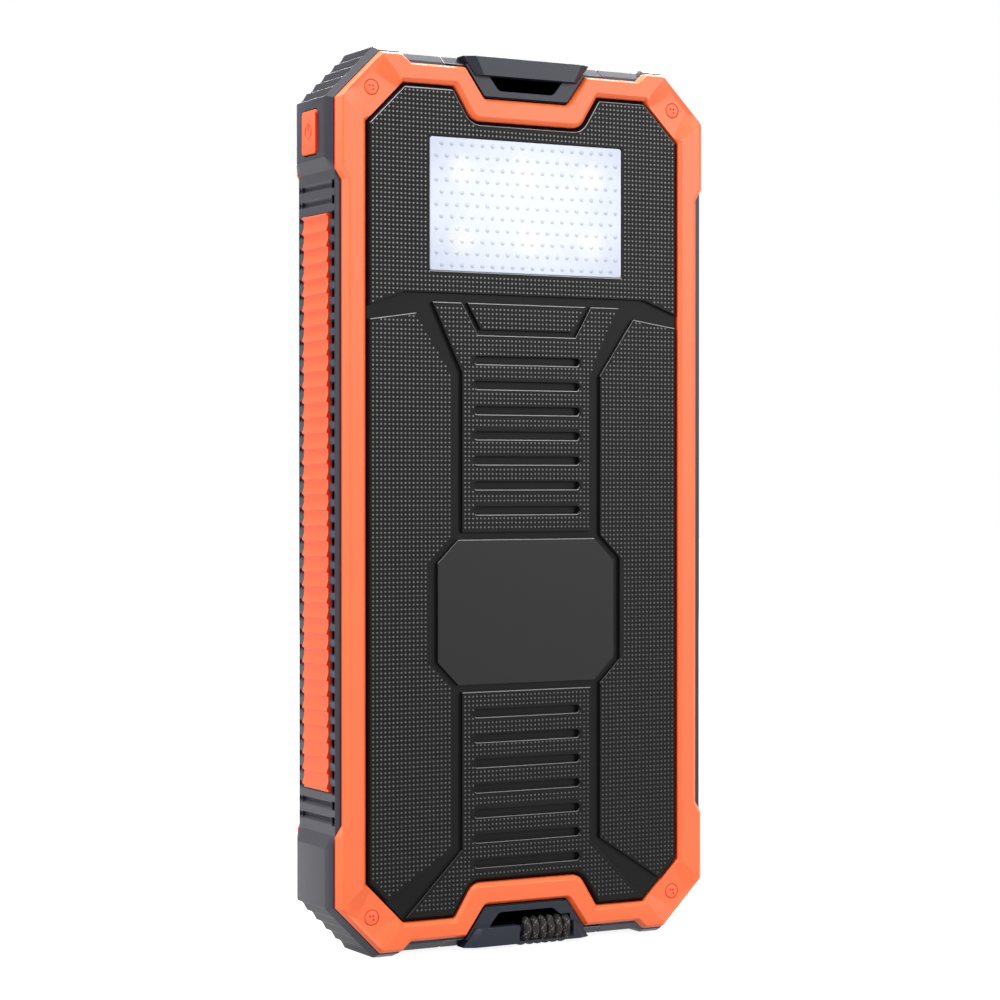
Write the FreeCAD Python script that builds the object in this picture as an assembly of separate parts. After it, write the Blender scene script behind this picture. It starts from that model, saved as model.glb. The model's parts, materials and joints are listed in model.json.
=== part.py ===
import FreeCAD, Part
import math
import os

os.makedirs("parts", exist_ok=True)
Vec = FreeCAD.Vector

# Pocket jump starter in a rugged case, standing on its lower end. Millimetres.
# X is the width, Y the depth with the lamp side at -Y, Z the height.
# Everything is drawn about the middle of the case and lifted when it is saved.

# Clearances
close_gap = 0.05
fit_gap = 0.15
part_gap = 0.3

# Dark band round the sides and ends
case_height = 177.5
case_width = 86.2
band_depth = 16.6
rim_height = 2.0
rim_inset = 0.85
corner_cut = 10.3
block_height = 22.05
block_step = 1.3
block_slope = 2.4
end_dip = 0.8
end_dip_width = 56.8
end_slope = 1.55
stair_count = 5
stair_riser = 1.45
stair_front_margin = 2.0
stair_back_margin = 0.4

# Orange frames
frame_side_inset = 1.1
frame_end_inset = 1.15
frame_corner_cut = 9.6
frame_block_overlap = 2.2
frame_waist_step = 2.2
frame_waist_inset = 1.4
frame_notch_width = 55.6
frame_notch_depth = 1.73
frame_notch_slope = 2.0
frame_thickness = 1.7
frame_edge_height = 0.5
frame_side_bevel = 1.2
frame_end_bevel = 0.6
frame_inner_bevel = 0.8
frame_lip_height = 1.0
recess_depth = 7.7
recess_mouth_width = 27.3
recess_floor_width = 18.88
recess_floor_radius = 1.0

# Opening of the frame, which the front panel fills
side_rail_width = 6.25
end_rail_width = 5.7
window_corner_cut = 8.1
bump_rail_width = 4.6
bump_mouth_spread = 2.65
bump_floor_spread = 2.86
bump_radius = 3.0

# Ribbed sides and the grips let into them
rib_pitch = 3.0
rib_count = 42
rib_groove_width = 1.5
rib_groove_depth = 0.8
rib_pocket_width = 1.7
rib_pocket_length = 1.2
rib_pocket_depth = 1.2
rib_rim = 0.3
grip_height = 112.0
grip_width = 11.2
grip_seat_depth = 1.2
grip_proud = 0.6
grip_wave_depth = 0.45

# Panels
panel_flange = 1.3
panel_flange_thickness = 1.6
panel_gap = 0.15
panel_edge_height = 0.3
panel_edge_bevel = 0.75
pad_height = 1.4
channel_depth = 0.75
slot_depth = 1.1
slot_length = 24.2
slot_width = 1.6
slot_pitch = 4.96
slots_per_side = 7
octagon_width = 40.4
octagon_height = 28.7
octagon_cut = 4.6
octagon_channel = 1.4
octagon_drop = 61.05
slot_start_gap = 4.3
column_width = 29.5
column_flare_width = 42.8
column_flare_height = 13.85
column_foot_height = 13.3
side_channel = 2.2
pad_shoulder_drop = 2.25
pad_shoulder_gap = 3.5
pad_shoulder_slope = 0.144
pad_foot_rise = 0.4
pad_foot_slope = 0.64
zone_gap = 1.8
zone_lamp_margin = 4.3
zone_edge_width = 54.6
zone_slope = 0.372
trapezoid_top_width = 27.2
trapezoid_bottom_width = 21.2
trapezoid_height = 5.2
trapezoid_channel = 1.1
ledge_width = 0.6

# Corner screws, their sleeves under the frames and their plugs
screw_side_inset = 7.55
screw_end_inset = 7.2
screw_radius = 0.9
screw_length = 5.0
screw_head_height = 1.2
screw_seat_depth = 1.8
sleeve_radius = 2.1
sleeve_length = 3.0
plug_radius = 1.45
plug_thickness = 1.1
corner_pad_depth = 0.65
corner_pad_outer = 4.6
corner_pad_inner = 8.4
corner_pad_reach = 2.2

# Seals between panels and band
seal_inset = 0.1
seal_width = 0.9
seal_depth = 0.6

# Lamp
lamp_width = 44.0
lamp_height = 26.35
lamp_top_margin = 10.1
lamp_corner_radius = 0.6
lens_flange = 1.5
lens_flange_thickness = 0.8
light_box_wall = 1.6
light_box_depth = 1.7
led_board_thickness = 1.0
led_columns = 3
led_rows = 2
led_size = 3.5
led_height = 0.7

# Room inside the band
cavity_side_wall = 4.5
cavity_corner_wall = 9.58
cavity_half_depth = 5.0
ledge_wall = 1.15

# Boards
board_lamp_gap = 1.4
board_thickness = 1.6
board_side_gap = 1.8
board_top_gap = 0.5
board_height = 34.5
standoff_radius = 2.4
standoff_side_inset = 6.3
standoff_rise = 4.0
standoff_pitch = 19.0
board_screw_radius = 1.0
board_screw_head_radius = 1.9
board_screw_head_height = 1.3
board_screw_bite = 4.0
coil_size = 10.0
coil_height = 4.5
chip_size = 6.5
chip_height = 1.2
capacitor_radius = 3.0
capacitor_height = 5.5
parts_rise = 3.0
capacitor_inset = 5.5
coil_x = -15.0
chip_x = (0.0, 21.0)

# Power button in the upper left corner block
button_end_inset = 16.7
button_height = 8.5
button_width = 6.3
button_radius = 0.8
button_proud = 0.5
button_gap = 0.25
button_wall = 2.1
button_flange = 0.7
button_flange_thickness = 0.7
button_travel = 0.5
button_stem = 3.0
switch_size = 6.0
switch_depth = 3.2
switch_overhang = 0.7
plunger_radius = 1.3
plunger_length = 1.0
plunger_depth = 1.2

# Lanyard loops in the end recesses
loop_width = 36.6
loop_boss_draft = 0.4
loop_boss_height = 3.45
loop_dish_proud = 0.9
loop_corner_radius = 0.7
bar_proud = 2.3
bar_bevel_depth = 1.15
bar_thickness = 4.0
bar_height = 3.7
bar_front_width = 24.2
bar_front_taper = 1.75
bar_base_width = 28.8
bar_base_taper = 2.8
bar_end_inset = 0.75
lanyard_slot_depth = 2.0
loop_wall = 0.8
lanyard_slot_rise = 1.7
lanyard_slot_width = 16.6
lanyard_slot_taper = 2.1
lanyard_slot_radius = 1.6
winding_slot_room = 1.2

# Cord wound round the lower bar
cord_diameter = 1.35
cord_turns = 6
cord_pitch = 1.79
cord_loop_radius = 2.1
cord_bar_offset = 0.6
cord_centre_x = 4.3
cord_floor_gap = 0.15
cord_core_gap = 0.15
cord_side_gap = 0.15
cord_start_room = 0.4
cord_round_gap = 0.3
cord_start_spread = 0.4
cord_end_spread = 0.15
cord_start_rise = 1.2
cord_least_gap = 0.4

# Ports in the upper end, under a hinged cover
cover_width = 40.0
cover_side_gap = 0.2
cover_thickness = 1.9
hinge_setback = 7.4
hinge_wall_drop = 0.15
knuckle_gap = 0.15
pin_radius = 0.6
pin_gap = 0.05
pin_end = 1.4
port_wall = 1.6
port_depth = 13.0
port_bay_side = 0.45
tab_thickness = 1.1
tab_rise = 0.5
tab_gap = 0.35
tab_neck = 1.0
port_spacing = 1.2
usb_a_width = 13.1
usb_a_height = 5.8
usb_a_tongue = 1.8
usb_c_width = 9.0
usb_c_height = 3.3
usb_c_tongue = 0.7
tongue_inset = 2.0
jump_width = 12.4
jump_height = 5.7
jump_pin_radius = 1.4
jump_bore_radius = 2.1
jump_pin_pitch = 6.0
jump_pin_inset = 1.5
jump_floor = 2.0
port_shell = 0.4
port_seal_width = 0.8
port_seal_depth = 0.7
port_seal_proud = 0.05

# Battery
cell_count = 3
cell_thickness = 3.9
cell_side_gap = 0.25
cell_end_gap = 6.5
cell_corner_share = 0.3
pad_inset = 2.0
tab_x = 12.0
tab_width = 8.0
tab_sheet = 0.3
tab_length = 3.6
pack_board_side_gap = 10.6
pack_board_front_gap = 1.1
pack_board_thickness = 1.4
pack_board_top_gap = 5.0
lead_radius = 1.3

# Charge lights in the back panel
light_count = 4
light_pitch = 4.0
light_radius = 1.0
light_bar_height = 4.0
light_bar_depth = 1.6

# Places that follow from the sizes

case_half_height = case_height / 2
case_half_width = case_width / 2
case_half_depth = band_depth / 2
rim_half_depth = case_half_depth - rim_height
waist_half_width = case_half_width - block_step
block_foot = case_half_height - block_height
waist_half_height = block_foot - block_slope
end_height = case_half_height - end_dip
end_dip_start = end_dip_width / 2

frame_half_width = case_half_width - frame_side_inset
frame_half_height = case_half_height - frame_end_inset
frame_block_foot = block_foot - frame_block_overlap
frame_notch_half_width = frame_notch_width / 2
notch_height = frame_half_height - frame_notch_depth
recess_floor_height = frame_half_height - recess_depth
recess_mouth_half_width = recess_mouth_width / 2
recess_floor_half_width = recess_floor_width / 2
recess_slope = (recess_mouth_half_width - recess_floor_half_width) / (notch_height - recess_floor_height)

window_half_width = frame_half_width - side_rail_width
window_half_height = frame_half_height - end_rail_width

panel_seat = case_half_depth - panel_flange_thickness

screw_head_radius = plug_radius - 2 * close_gap
screw_x = frame_half_width - screw_side_inset
screw_z = frame_half_height - screw_end_inset

lamp_high = window_half_height - lamp_top_margin
lamp_low = lamp_high - lamp_height
lamp_z = (lamp_high + lamp_low) / 2

zone_z = lamp_low - zone_lamp_margin
column_top = zone_z - zone_gap
column_bottom = -window_half_height + column_foot_height
flare_start = column_top - column_flare_height

cavity_half_width = case_half_width - cavity_side_wall
cavity_half_height = recess_floor_height + part_gap - close_gap - ledge_wall
cavity_corner_sum = case_half_width + case_half_height - corner_cut - cavity_corner_wall * math.sqrt(2)

lamp_half_width = lamp_width / 2
lamp_back = -panel_seat + lens_flange_thickness + light_box_depth + led_board_thickness
board_front = lamp_back + board_lamp_gap
board_back = board_front + board_thickness
board_half_width = cavity_half_width - board_side_gap
board_high = cavity_half_height - board_top_gap
board_low = board_high - board_height
board_corner_sum = cavity_corner_sum - board_top_gap
standoff_x = board_half_width - standoff_side_inset
standoff_z = (board_low + standoff_rise, board_low + standoff_rise + standoff_pitch)
capacitor_x = standoff_x - capacitor_inset

button_z = case_half_height - button_end_inset
switch_y = board_back + switch_depth / 2
switch_face = -board_half_width - switch_overhang

loop_half_width = loop_width / 2
loop_boss_floor = end_height - loop_boss_height
loop_dish_front = -case_half_depth - loop_dish_proud
bar_front = -case_half_depth - bar_proud
bar_shoulder = bar_front + bar_bevel_depth
bar_back = bar_front + bar_thickness
bar_high = case_half_height - bar_end_inset
bar_low = bar_high - bar_height
lanyard_slot_back = bar_back + lanyard_slot_depth
loop_back = lanyard_slot_back + loop_wall
lanyard_slot_floor = recess_floor_height + lanyard_slot_rise
cord_centre_y = (bar_front + bar_back) / 2 + cord_bar_offset

cover_half_width = cover_width / 2
cover_top = end_height
cover_underside = cover_top - cover_thickness
knuckle_radius = cover_thickness / 2
hinge_z = cover_top - knuckle_radius
hinge_y = hinge_setback - case_half_depth
hinge_wall_top = hinge_z - hinge_wall_drop
port_wall_top = cover_underside - fit_gap
port_wall_bottom = port_wall_top - port_wall
port_foot = port_wall_top - port_depth
ports_half_width = (usb_a_width + usb_c_width + jump_width) / 2 + port_spacing
usb_a_x = -ports_half_width + usb_a_width / 2
usb_c_x = usb_a_x + (usb_a_width + usb_c_width) / 2 + port_spacing
jump_x = ports_half_width - jump_width / 2
port_bay_half_width = ports_half_width + port_bay_side
port_bay_back = board_back + max(usb_a_height, usb_c_height, jump_height) + fit_gap
tab_floor = recess_floor_height + tab_rise

stack_half_depth = cell_count * cell_thickness / 2
pad_thickness = panel_seat - close_gap - stack_half_depth
cell_half_width = window_half_width - ledge_width - cell_side_gap
pack_board_z = board_low - pack_board_top_gap - pack_board_thickness
cell_low = cell_end_gap - cavity_half_height
cell_high = pack_board_z - tab_length
lead_y = board_back + jump_height / 2


def both_sides(half):
    """Close an outline drawn for X > 0, from its top to its bottom."""
    return half + [(-x, z, r) for x, z, r in reversed(half)]


def all_round(quarter):
    """Close an outline drawn for the upper right quarter, from its top to its side."""
    return both_sides(quarter + [(x, -z, r) for x, z, r in reversed(quarter)])


def sharp(points):
    """Give every corner of an outline no radius."""
    return [(x, z, 0.0) for x, z in points]


def turn_sign(outline):
    """Say which way round an outline runs."""
    area = 0.0
    for (x0, z0, _), (x1, z1, _) in zip(outline, outline[1:] + outline[:1]):
        area += x0 * z1 - x1 * z0
    return 1.0 if area > 0 else -1.0


def grow(outline, distance):
    """Move every edge of an outline outwards by a distance, keeping its corners."""
    sign = turn_sign(outline)
    grown = []
    count = len(outline)
    for i in range(count):
        x0, z0, _ = outline[i - 1]
        x1, z1, radius = outline[i]
        x2, z2, _ = outline[(i + 1) % count]
        length_in = math.hypot(x1 - x0, z1 - z0)
        length_out = math.hypot(x2 - x1, z2 - z1)
        ax, az = (x1 - x0) / length_in, (z1 - z0) / length_in
        bx, bz = (x2 - x1) / length_out, (z2 - z1) / length_out
        cosine = 1.0 + ax * bx + az * bz
        step = distance * sign / cosine
        turn = (ax * bz - az * bx) * sign
        if radius > 0.0:
            radius = max(0.1, radius + (distance if turn > 0 else -distance))
        grown.append((x1 + (az + bz) * step, z1 - (ax + bx) * step, radius))
    return grown


def outline_wire(outline, y):
    """Draw an outline at one depth, with its corners rounded where they have a radius."""
    starts = []
    ends = []
    middles = []
    count = len(outline)
    for i in range(count):
        corner = Vec(outline[i][0], y, outline[i][1])
        radius = outline[i][2]
        before = Vec(outline[i - 1][0], y, outline[i - 1][1])
        after = Vec(outline[(i + 1) % count][0], y, outline[(i + 1) % count][1])
        if radius <= 0.0:
            starts.append(corner)
            ends.append(corner)
            middles.append(None)
            continue
        back = (before - corner).normalize()
        forth = (after - corner).normalize()
        half_angle = back.getAngle(forth) / 2.0
        tangent = radius / math.tan(half_angle)
        bisector = (back + forth).normalize()
        starts.append(corner + back * tangent)
        ends.append(corner + forth * tangent)
        middles.append(corner + bisector * (radius / math.sin(half_angle) - radius))
    edges = []
    for i in range(count):
        if middles[i] is not None:
            edges.append(Part.Arc(starts[i], middles[i], ends[i]).toShape())
        edges.append(Part.LineSegment(ends[i], starts[(i + 1) % count]).toShape())
    return Part.Wire(edges)


def prism(outline, y_from, y_to):
    """Solid with one outline from one depth to another."""
    face = Part.Face(outline_wire(outline, y_from))
    return face.extrude(Vec(0, y_to - y_from, 0))


def tapered(outline_from, y_from, outline_to, y_to):
    """Solid that runs straight from one outline to a like one at another depth."""
    wires = [outline_wire(outline_from, y_from), outline_wire(outline_to, y_to)]
    return Part.makeLoft(wires, True, True)


def block(x0, x1, y0, y1, z0, z1):
    """Box between two corners."""
    return Part.makeBox(x1 - x0, y1 - y0, z1 - z0, Vec(x0, y0, z0))


def rod(radius, start, end):
    """Round bar between two points."""
    along = end - start
    return Part.makeCylinder(radius, along.Length, start, along)


def rectangle(x0, x1, z0, z1, radius=0.0):
    """Outline of a rectangle, its corners rounded if a radius is given."""
    return [(x1, z1, radius), (x1, z0, radius), (x0, z0, radius), (x0, z1, radius)]


def mirror_x(shape):
    return shape.mirror(Vec(0, 0, 0), Vec(1, 0, 0))


def mirror_y(shape):
    return shape.mirror(Vec(0, 0, 0), Vec(0, 1, 0))


def mirror_z(shape):
    return shape.mirror(Vec(0, 0, 0), Vec(0, 0, 1))


def fuse_all(shapes):
    """Join shapes into one and drop the seams between their faces."""
    return shapes[0].multiFuse(shapes[1:]).removeSplitter()


def save(name, shape):
    """Lift a piece onto its lower end and write it."""
    placed = shape.copy()
    placed.translate(Vec(0, 0, case_half_height))
    if not placed.isValid() or placed.Volume <= 0:
        print("BAD", name, placed.Volume)
    placed.exportStep("parts/" + name + ".step")
    print(name, len(placed.Solids), round(placed.Volume, 1))


# Outlines, each drawn for the upper right quarter

window = all_round([
    (recess_floor_half_width + bump_floor_spread, recess_floor_height - bump_rail_width, bump_radius),
    (recess_mouth_half_width + bump_mouth_spread, window_half_height, 0.0),
    (window_half_width - window_corner_cut, window_half_height, 0.0),
    (window_half_width, window_half_height - window_corner_cut, 0.0),
])

frame_outline = all_round([
    (recess_floor_half_width, recess_floor_height, recess_floor_radius),
    (recess_mouth_half_width, notch_height, 0.0),
    (frame_notch_half_width - frame_notch_slope, notch_height, 0.0),
    (frame_notch_half_width, frame_half_height, 0.0),
    (frame_half_width - frame_corner_cut, frame_half_height, 0.0),
    (frame_half_width, frame_half_height - frame_corner_cut, 0.0),
    (frame_half_width, frame_block_foot, 0.0),
    (frame_half_width - frame_waist_inset, frame_block_foot - frame_waist_step, 0.0),
])

band_outline = all_round(sharp([
    (end_dip_start - end_dip, end_height),
    (end_dip_start, case_half_height),
    (case_half_width - corner_cut, case_half_height),
    (case_half_width, case_half_height - corner_cut),
    (case_half_width, block_foot),
    (waist_half_width, waist_half_height),
]))
band_face_outline = all_round(sharp([
    (end_dip_start - end_dip - rim_inset, end_height - end_slope),
    (end_dip_start - rim_inset / 2, case_half_height - rim_inset),
    (case_half_width - corner_cut - rim_inset / 2, case_half_height - rim_inset),
    (case_half_width - rim_inset, case_half_height - corner_cut - rim_inset / 2),
    (case_half_width - rim_inset, block_foot - rim_inset),
    (waist_half_width, waist_half_height),
]))


def four_corners(x, z):
    """The same place in each corner of the case."""
    return [(sx * x, sz * z) for sx in (1, -1) for sz in (1, -1)]


# Dark band

def band_body():
    """Outside of the band: full in the middle, sloped to the rims that carry the frames."""
    middle = prism(band_outline, -rim_half_depth, rim_half_depth)
    front = tapered(band_outline, -rim_half_depth, band_face_outline, -case_half_depth)
    sides = []
    for side in (1, -1):
        edge = side * waist_half_width
        inner = side * (waist_half_width - grip_seat_depth)
        sides.append(block(min(edge, inner), max(edge, inner), -case_half_depth, case_half_depth,
                           -waist_half_height, waist_half_height))
    return fuse_all([middle, front, mirror_y(front)] + sides)


def corner_stairs():
    """Prisms that cut the steps into the upper right corner chamfer."""
    x0 = case_half_width
    z0 = case_half_height - corner_cut
    step = corner_cut / stair_count
    cuts = []
    for i in range(stair_count):
        crest = (x0 - i * step, z0 + i * step)
        foot = (x0 - (i + 1) * step, z0 + (i + 1) * step - stair_riser)
        crest_next = (x0 - (i + 1) * step, z0 + (i + 1) * step)
        reach = rim_half_depth
        outside = (crest[0] + reach, crest[1] + reach)
        outside_next = (crest_next[0] + reach, crest_next[1] + reach)
        points = sharp([crest, foot, crest_next, outside_next, outside])
        cuts.append(prism(points, stair_front_margin - case_half_depth, case_half_depth - stair_back_margin))
    return cuts


def rib_heights():
    """Heights of the grooves between the side ribs."""
    first = -rib_pitch * (rib_count - 1) / 2
    return [first + i * rib_pitch for i in range(rib_count)]


def side_grooves():
    """V grooves of the right side, each with a deeper pocket at both ends."""
    cuts = []
    face = waist_half_width
    half_length = case_half_depth - rib_rim - rib_pocket_length
    for z in rib_heights():
        half = rib_groove_width / 2
        points = sharp([(face, z + half), (face - rib_groove_depth, z), (face, z - half),
                        (case_half_width, z - half), (case_half_width, z + half)])
        cuts.append(prism(points, -half_length, half_length))
        for end in (-1, 1):
            y0 = min(end * half_length, end * (half_length + rib_pocket_length))
            cuts.append(block(face - rib_pocket_depth, case_half_width, y0, y0 + rib_pocket_length,
                              z - rib_pocket_width / 2, z + rib_pocket_width / 2))
    return cuts


def grip_seat():
    """Recess of the right side for its grip."""
    return block(waist_half_width - grip_seat_depth, case_half_width,
                 -grip_width / 2 - close_gap, grip_width / 2 + close_gap,
                 -grip_height / 2 - close_gap, grip_height / 2 + close_gap)


def cavity():
    """Room inside the band: a hole as wide as the ledges allow, wider between them."""
    ledge = prism(grow(window, -ledge_width), -case_half_depth, case_half_depth)
    quarter = sharp([(cavity_corner_sum - cavity_half_height, cavity_half_height),
                     (cavity_half_width, cavity_corner_sum - cavity_half_width)])
    inside = prism(all_round(quarter), -cavity_half_depth, cavity_half_depth)
    seat = prism(grow(window, panel_flange + fit_gap), -case_half_depth, -panel_seat)
    return [ledge, inside, seat, mirror_y(seat)]


def seal_ring():
    """Rubber ring that lies in the ledge behind the front panel."""
    outer = grow(window, seal_inset + seal_width)
    inner = grow(window, seal_inset)
    ring = prism(outer, -panel_seat, -panel_seat + seal_depth)
    return ring.cut(prism(inner, -panel_seat, -panel_seat + seal_depth))


def button_room():
    """Hole, flange room and switch room of the power button."""
    half_z = button_height / 2 + button_gap
    half_y = button_width / 2 + button_gap
    wall = -case_half_width + button_wall
    outline = rectangle(-half_y, half_y, button_z - half_z, button_z + half_z, button_radius + button_gap)
    hole = side_prism(outline, -case_half_width - button_wall, wall)
    spread = button_flange
    room = block(wall, -board_half_width + switch_size + fit_gap, -half_y - spread, half_y + spread,
                 button_z - half_z - spread, button_z + half_z + spread)
    return [hole, room]


def side_prism(outline, x_from, x_to):
    """Solid with an outline in Y and Z, between two X."""
    shape = prism(outline, 0.0, x_to - x_from)
    shape.rotate(Vec(0, 0, 0), Vec(0, 0, 1), -90)
    shape.translate(Vec(x_from, 0, 0))
    return shape


def loop_outline(gap=0.0):
    """Front view of a lanyard loop's body, for the upper end."""
    floor = recess_floor_height + part_gap
    foot = recess_floor_half_width
    shoulder = foot + recess_slope * (loop_boss_floor - floor)
    half = sharp([(loop_half_width - loop_boss_draft, end_height),
                  (loop_half_width, loop_boss_floor),
                  (shoulder, loop_boss_floor), (foot, floor)])
    return grow(both_sides(half), gap)


def loop_pocket():
    """Pocket of the upper end for its lanyard loop."""
    pocket = prism(loop_outline(close_gap), -case_half_depth, loop_back + close_gap)
    above = block(-loop_half_width, loop_half_width, -case_half_depth, loop_back + close_gap,
                  end_height - loop_boss_draft, case_half_height)
    return [pocket, above]


def back_recess_outline():
    """Outline that fills the frame's end recess with a little air, for the upper end."""
    reach = end_height - end_slope - tab_floor
    foot = recess_floor_half_width + recess_slope * tab_rise - tab_gap
    return both_sides([(foot + recess_slope * reach, tab_floor + reach, 0.0), (foot, tab_floor, loop_corner_radius)])


def port_rooms():
    """Cuts in the upper end: the cover's seat, the hinge's room, the port openings and their bay."""
    wide = cover_half_width + cover_side_gap
    cuts = [block(-wide, wide, hinge_y, case_half_depth, port_wall_top, case_half_height)]
    cuts.append(rod(knuckle_radius + knuckle_gap, Vec(-wide, hinge_y, hinge_z), Vec(wide, hinge_y, hinge_z)))
    front = hinge_y - knuckle_radius - knuckle_gap
    cuts.append(block(-wide, wide, front, hinge_y, hinge_z, case_half_height))
    cuts.append(block(-wide, wide, loop_back, front, hinge_wall_top, case_half_height))
    cuts.append(rod(pin_radius + close_gap, Vec(-wide - pin_end, hinge_y, hinge_z),
                    Vec(wide + pin_end, hinge_y, hinge_z)))
    for x, width, height in port_list():
        cuts.append(block(x - width / 2 - close_gap, x + width / 2 + close_gap, board_back - close_gap,
                          board_back + height + close_gap, port_wall_bottom, port_wall_top))
    cuts.append(block(-port_bay_half_width, port_bay_half_width, board_back - fit_gap, port_bay_back,
                      port_foot - fit_gap, port_wall_bottom))
    return cuts


def port_list():
    """Middle, width and height of each port, from left to right."""
    return [(usb_a_x, usb_a_width, usb_a_height), (usb_c_x, usb_c_width, usb_c_height),
            (jump_x, jump_width, jump_height)]


def port_seal():
    """Rubber ring round the ports, let into the wall that carries them."""
    out_x = port_bay_half_width + port_seal_width
    top = port_wall_top + port_seal_proud
    outer = block(-out_x, out_x, board_back - port_seal_width, port_bay_back + port_seal_width,
                  top - port_seal_depth, top)
    inner = block(-out_x + port_seal_width, out_x - port_seal_width, board_back - close_gap, port_bay_back,
                  top - port_seal_depth, top)
    return outer.cut(inner)


def mid_case():
    band = band_body()
    stairs = corner_stairs()
    right = stairs + [mirror_z(cut) for cut in stairs] + side_grooves() + [grip_seat()]
    cuts = right + [mirror_x(cut) for cut in right]
    cuts += cavity() + [seal_ring(), mirror_y(seal_ring())]
    pocket = loop_pocket()
    cuts += pocket + [mirror_z(cut) for cut in pocket]
    cuts += port_rooms() + button_room() + [port_seal()]
    for x, z in four_corners(screw_x, screw_z):
        for side in (-1, 1):
            mouth = side * case_half_depth
            floor = side * (case_half_depth - sleeve_length - close_gap)
            tip = side * (case_half_depth - screw_seat_depth - screw_length - close_gap)
            cuts.append(rod(sleeve_radius + close_gap, Vec(x, mouth, z), Vec(x, floor, z)))
            cuts.append(rod(screw_radius + close_gap / 2, Vec(x, mouth, z), Vec(x, tip, z)))
    band = band.cut(cuts)
    lower_plate = mirror_z(prism(back_recess_outline(), case_half_depth, -loop_dish_front))
    return fuse_all([band, lower_plate])


# Orange frames

def corner_pad():
    """Cut that dishes the upper right corner of the front frame round its screw."""
    face = -case_half_depth - frame_thickness
    root = math.sqrt(0.5)
    along = (-root, root)
    out = (root, root)
    sum_outer = frame_half_width + frame_half_height - frame_corner_cut
    sum_inner = window_half_width + window_half_height - window_corner_cut
    sum_screw = screw_x + screw_z
    inner_reach = (sum_screw - sum_inner) * root + frame_inner_bevel
    outer_reach = (sum_outer - sum_screw) * root
    inner_half = window_corner_cut * root
    outer_half = frame_corner_cut * root - frame_end_bevel / 2
    floor = [(-corner_pad_inner / 2, -inner_reach), (corner_pad_inner / 2, -inner_reach),
             (corner_pad_outer / 2, corner_pad_reach), (-corner_pad_outer / 2, corner_pad_reach)]
    mouth = [(-inner_half, -inner_reach), (inner_half, -inner_reach),
             (outer_half, outer_reach), (-outer_half, outer_reach)]

    def place(points):
        return sharp([(screw_x + along[0] * u + out[0] * v, screw_z + along[1] * u + out[1] * v)
                      for u, v in points])
    return tapered(place(mouth), face, place(floor), face + corner_pad_depth)


def bevelled_outline():
    """Outline of the frame's face: drawn in more along the sides than along the ends."""
    side = frame_half_width - frame_corner_cut / 2
    even = grow(frame_outline, -frame_end_bevel)
    more = frame_side_bevel - frame_end_bevel
    drawn = []
    for (x, z, _), (x_even, z_even, radius) in zip(frame_outline, even):
        if abs(x) > side:
            x_even -= math.copysign(more, x)
            corner = abs(z) > frame_half_height - frame_corner_cut - more / 2
            z_even += math.copysign(more, z) if corner else 0.0
        drawn.append((x_even, z_even, radius))
    return drawn


def frame_solid():
    """Frame for the front: a rail with bevels inside and out, dished at its corners."""
    seat = -case_half_depth
    edge = seat - frame_edge_height
    face = seat - frame_thickness
    lip = seat - frame_lip_height
    body = prism(frame_outline, seat, edge)
    body = body.fuse(tapered(frame_outline, edge, bevelled_outline(), face))
    hole = prism(window, seat, lip)
    slant = tapered(window, lip, grow(window, frame_inner_bevel), face)
    body = body.cut([hole, slant]).removeSplitter()
    pad = corner_pad()
    pads = [pad, mirror_x(pad), mirror_z(pad), mirror_x(mirror_z(pad))]
    body = body.cut(pads)
    sleeves = []
    bores = []
    for x, z in four_corners(screw_x, screw_z):
        sleeves.append(rod(sleeve_radius, Vec(x, seat, z), Vec(x, seat + sleeve_length, z)))
        bores.append(rod(plug_radius + close_gap, Vec(x, face, z), Vec(x, seat + screw_seat_depth, z)))
        bores.append(rod(screw_radius + close_gap, Vec(x, face, z), Vec(x, seat + sleeve_length, z)))
    return fuse_all([body] + sleeves).cut(bores)


def frame_screws():
    """Four screws from the front, their heads seated in the frame's sleeves."""
    seat = -case_half_depth + screw_seat_depth
    screws = []
    for x, z in four_corners(screw_x, screw_z):
        head = rod(screw_head_radius, Vec(x, seat - screw_head_height, z), Vec(x, seat, z))
        shank = rod(screw_radius, Vec(x, seat, z), Vec(x, seat + screw_length, z))
        screws.append(head.fuse(shank).removeSplitter())
    return Part.makeCompound(screws)


def screw_plugs():
    """Four plugs, flush with the dished corners of the front frame."""
    top = -case_half_depth - frame_thickness + corner_pad_depth
    plugs = [rod(plug_radius, Vec(x, top, z), Vec(x, top + plug_thickness, z))
             for x, z in four_corners(screw_x, screw_z)]
    return Part.makeCompound(plugs)


# Panels

def raised_field():
    """Raised part of a panel, sloped where it meets the frame."""
    base = grow(window, -panel_gap)
    top = grow(window, -panel_gap - panel_edge_bevel)
    seat = -case_half_depth
    edge = seat - panel_edge_height
    body = prism(base, seat, edge)
    return body.fuse(tapered(base, edge, top, seat - pad_height)).removeSplitter()


def octagon(extra=0.0):
    outline = [(octagon_width / 2 - octagon_cut, octagon_height / 2),
               (octagon_width / 2, octagon_height / 2 - octagon_cut)]
    outline = [(x, z + column_top - octagon_drop, r) for x, z, r in all_round(sharp(outline))]
    return grow(outline, extra)


def slot_heights():
    """Heights of the seven slots above the octagon and the seven below it."""
    middle = column_top - octagon_drop
    start = octagon_height / 2 + octagon_channel + slot_start_gap
    heights = [start + i * slot_pitch for i in range(slots_per_side)]
    return [middle + h for h in heights] + [middle - h for h in heights]


def slot_cut(z, y_floor, y_top):
    half = slot_width / 2
    outline = rectangle(-slot_length / 2, slot_length / 2, z - half, z + half, half - close_gap)
    return prism(outline, y_floor, y_top)


def trapezoid(extra=0.0):
    low = column_top - trapezoid_height
    half = sharp([(trapezoid_top_width / 2, column_top), (trapezoid_bottom_width / 2, low)])
    return grow(both_sides(half), extra)


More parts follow.
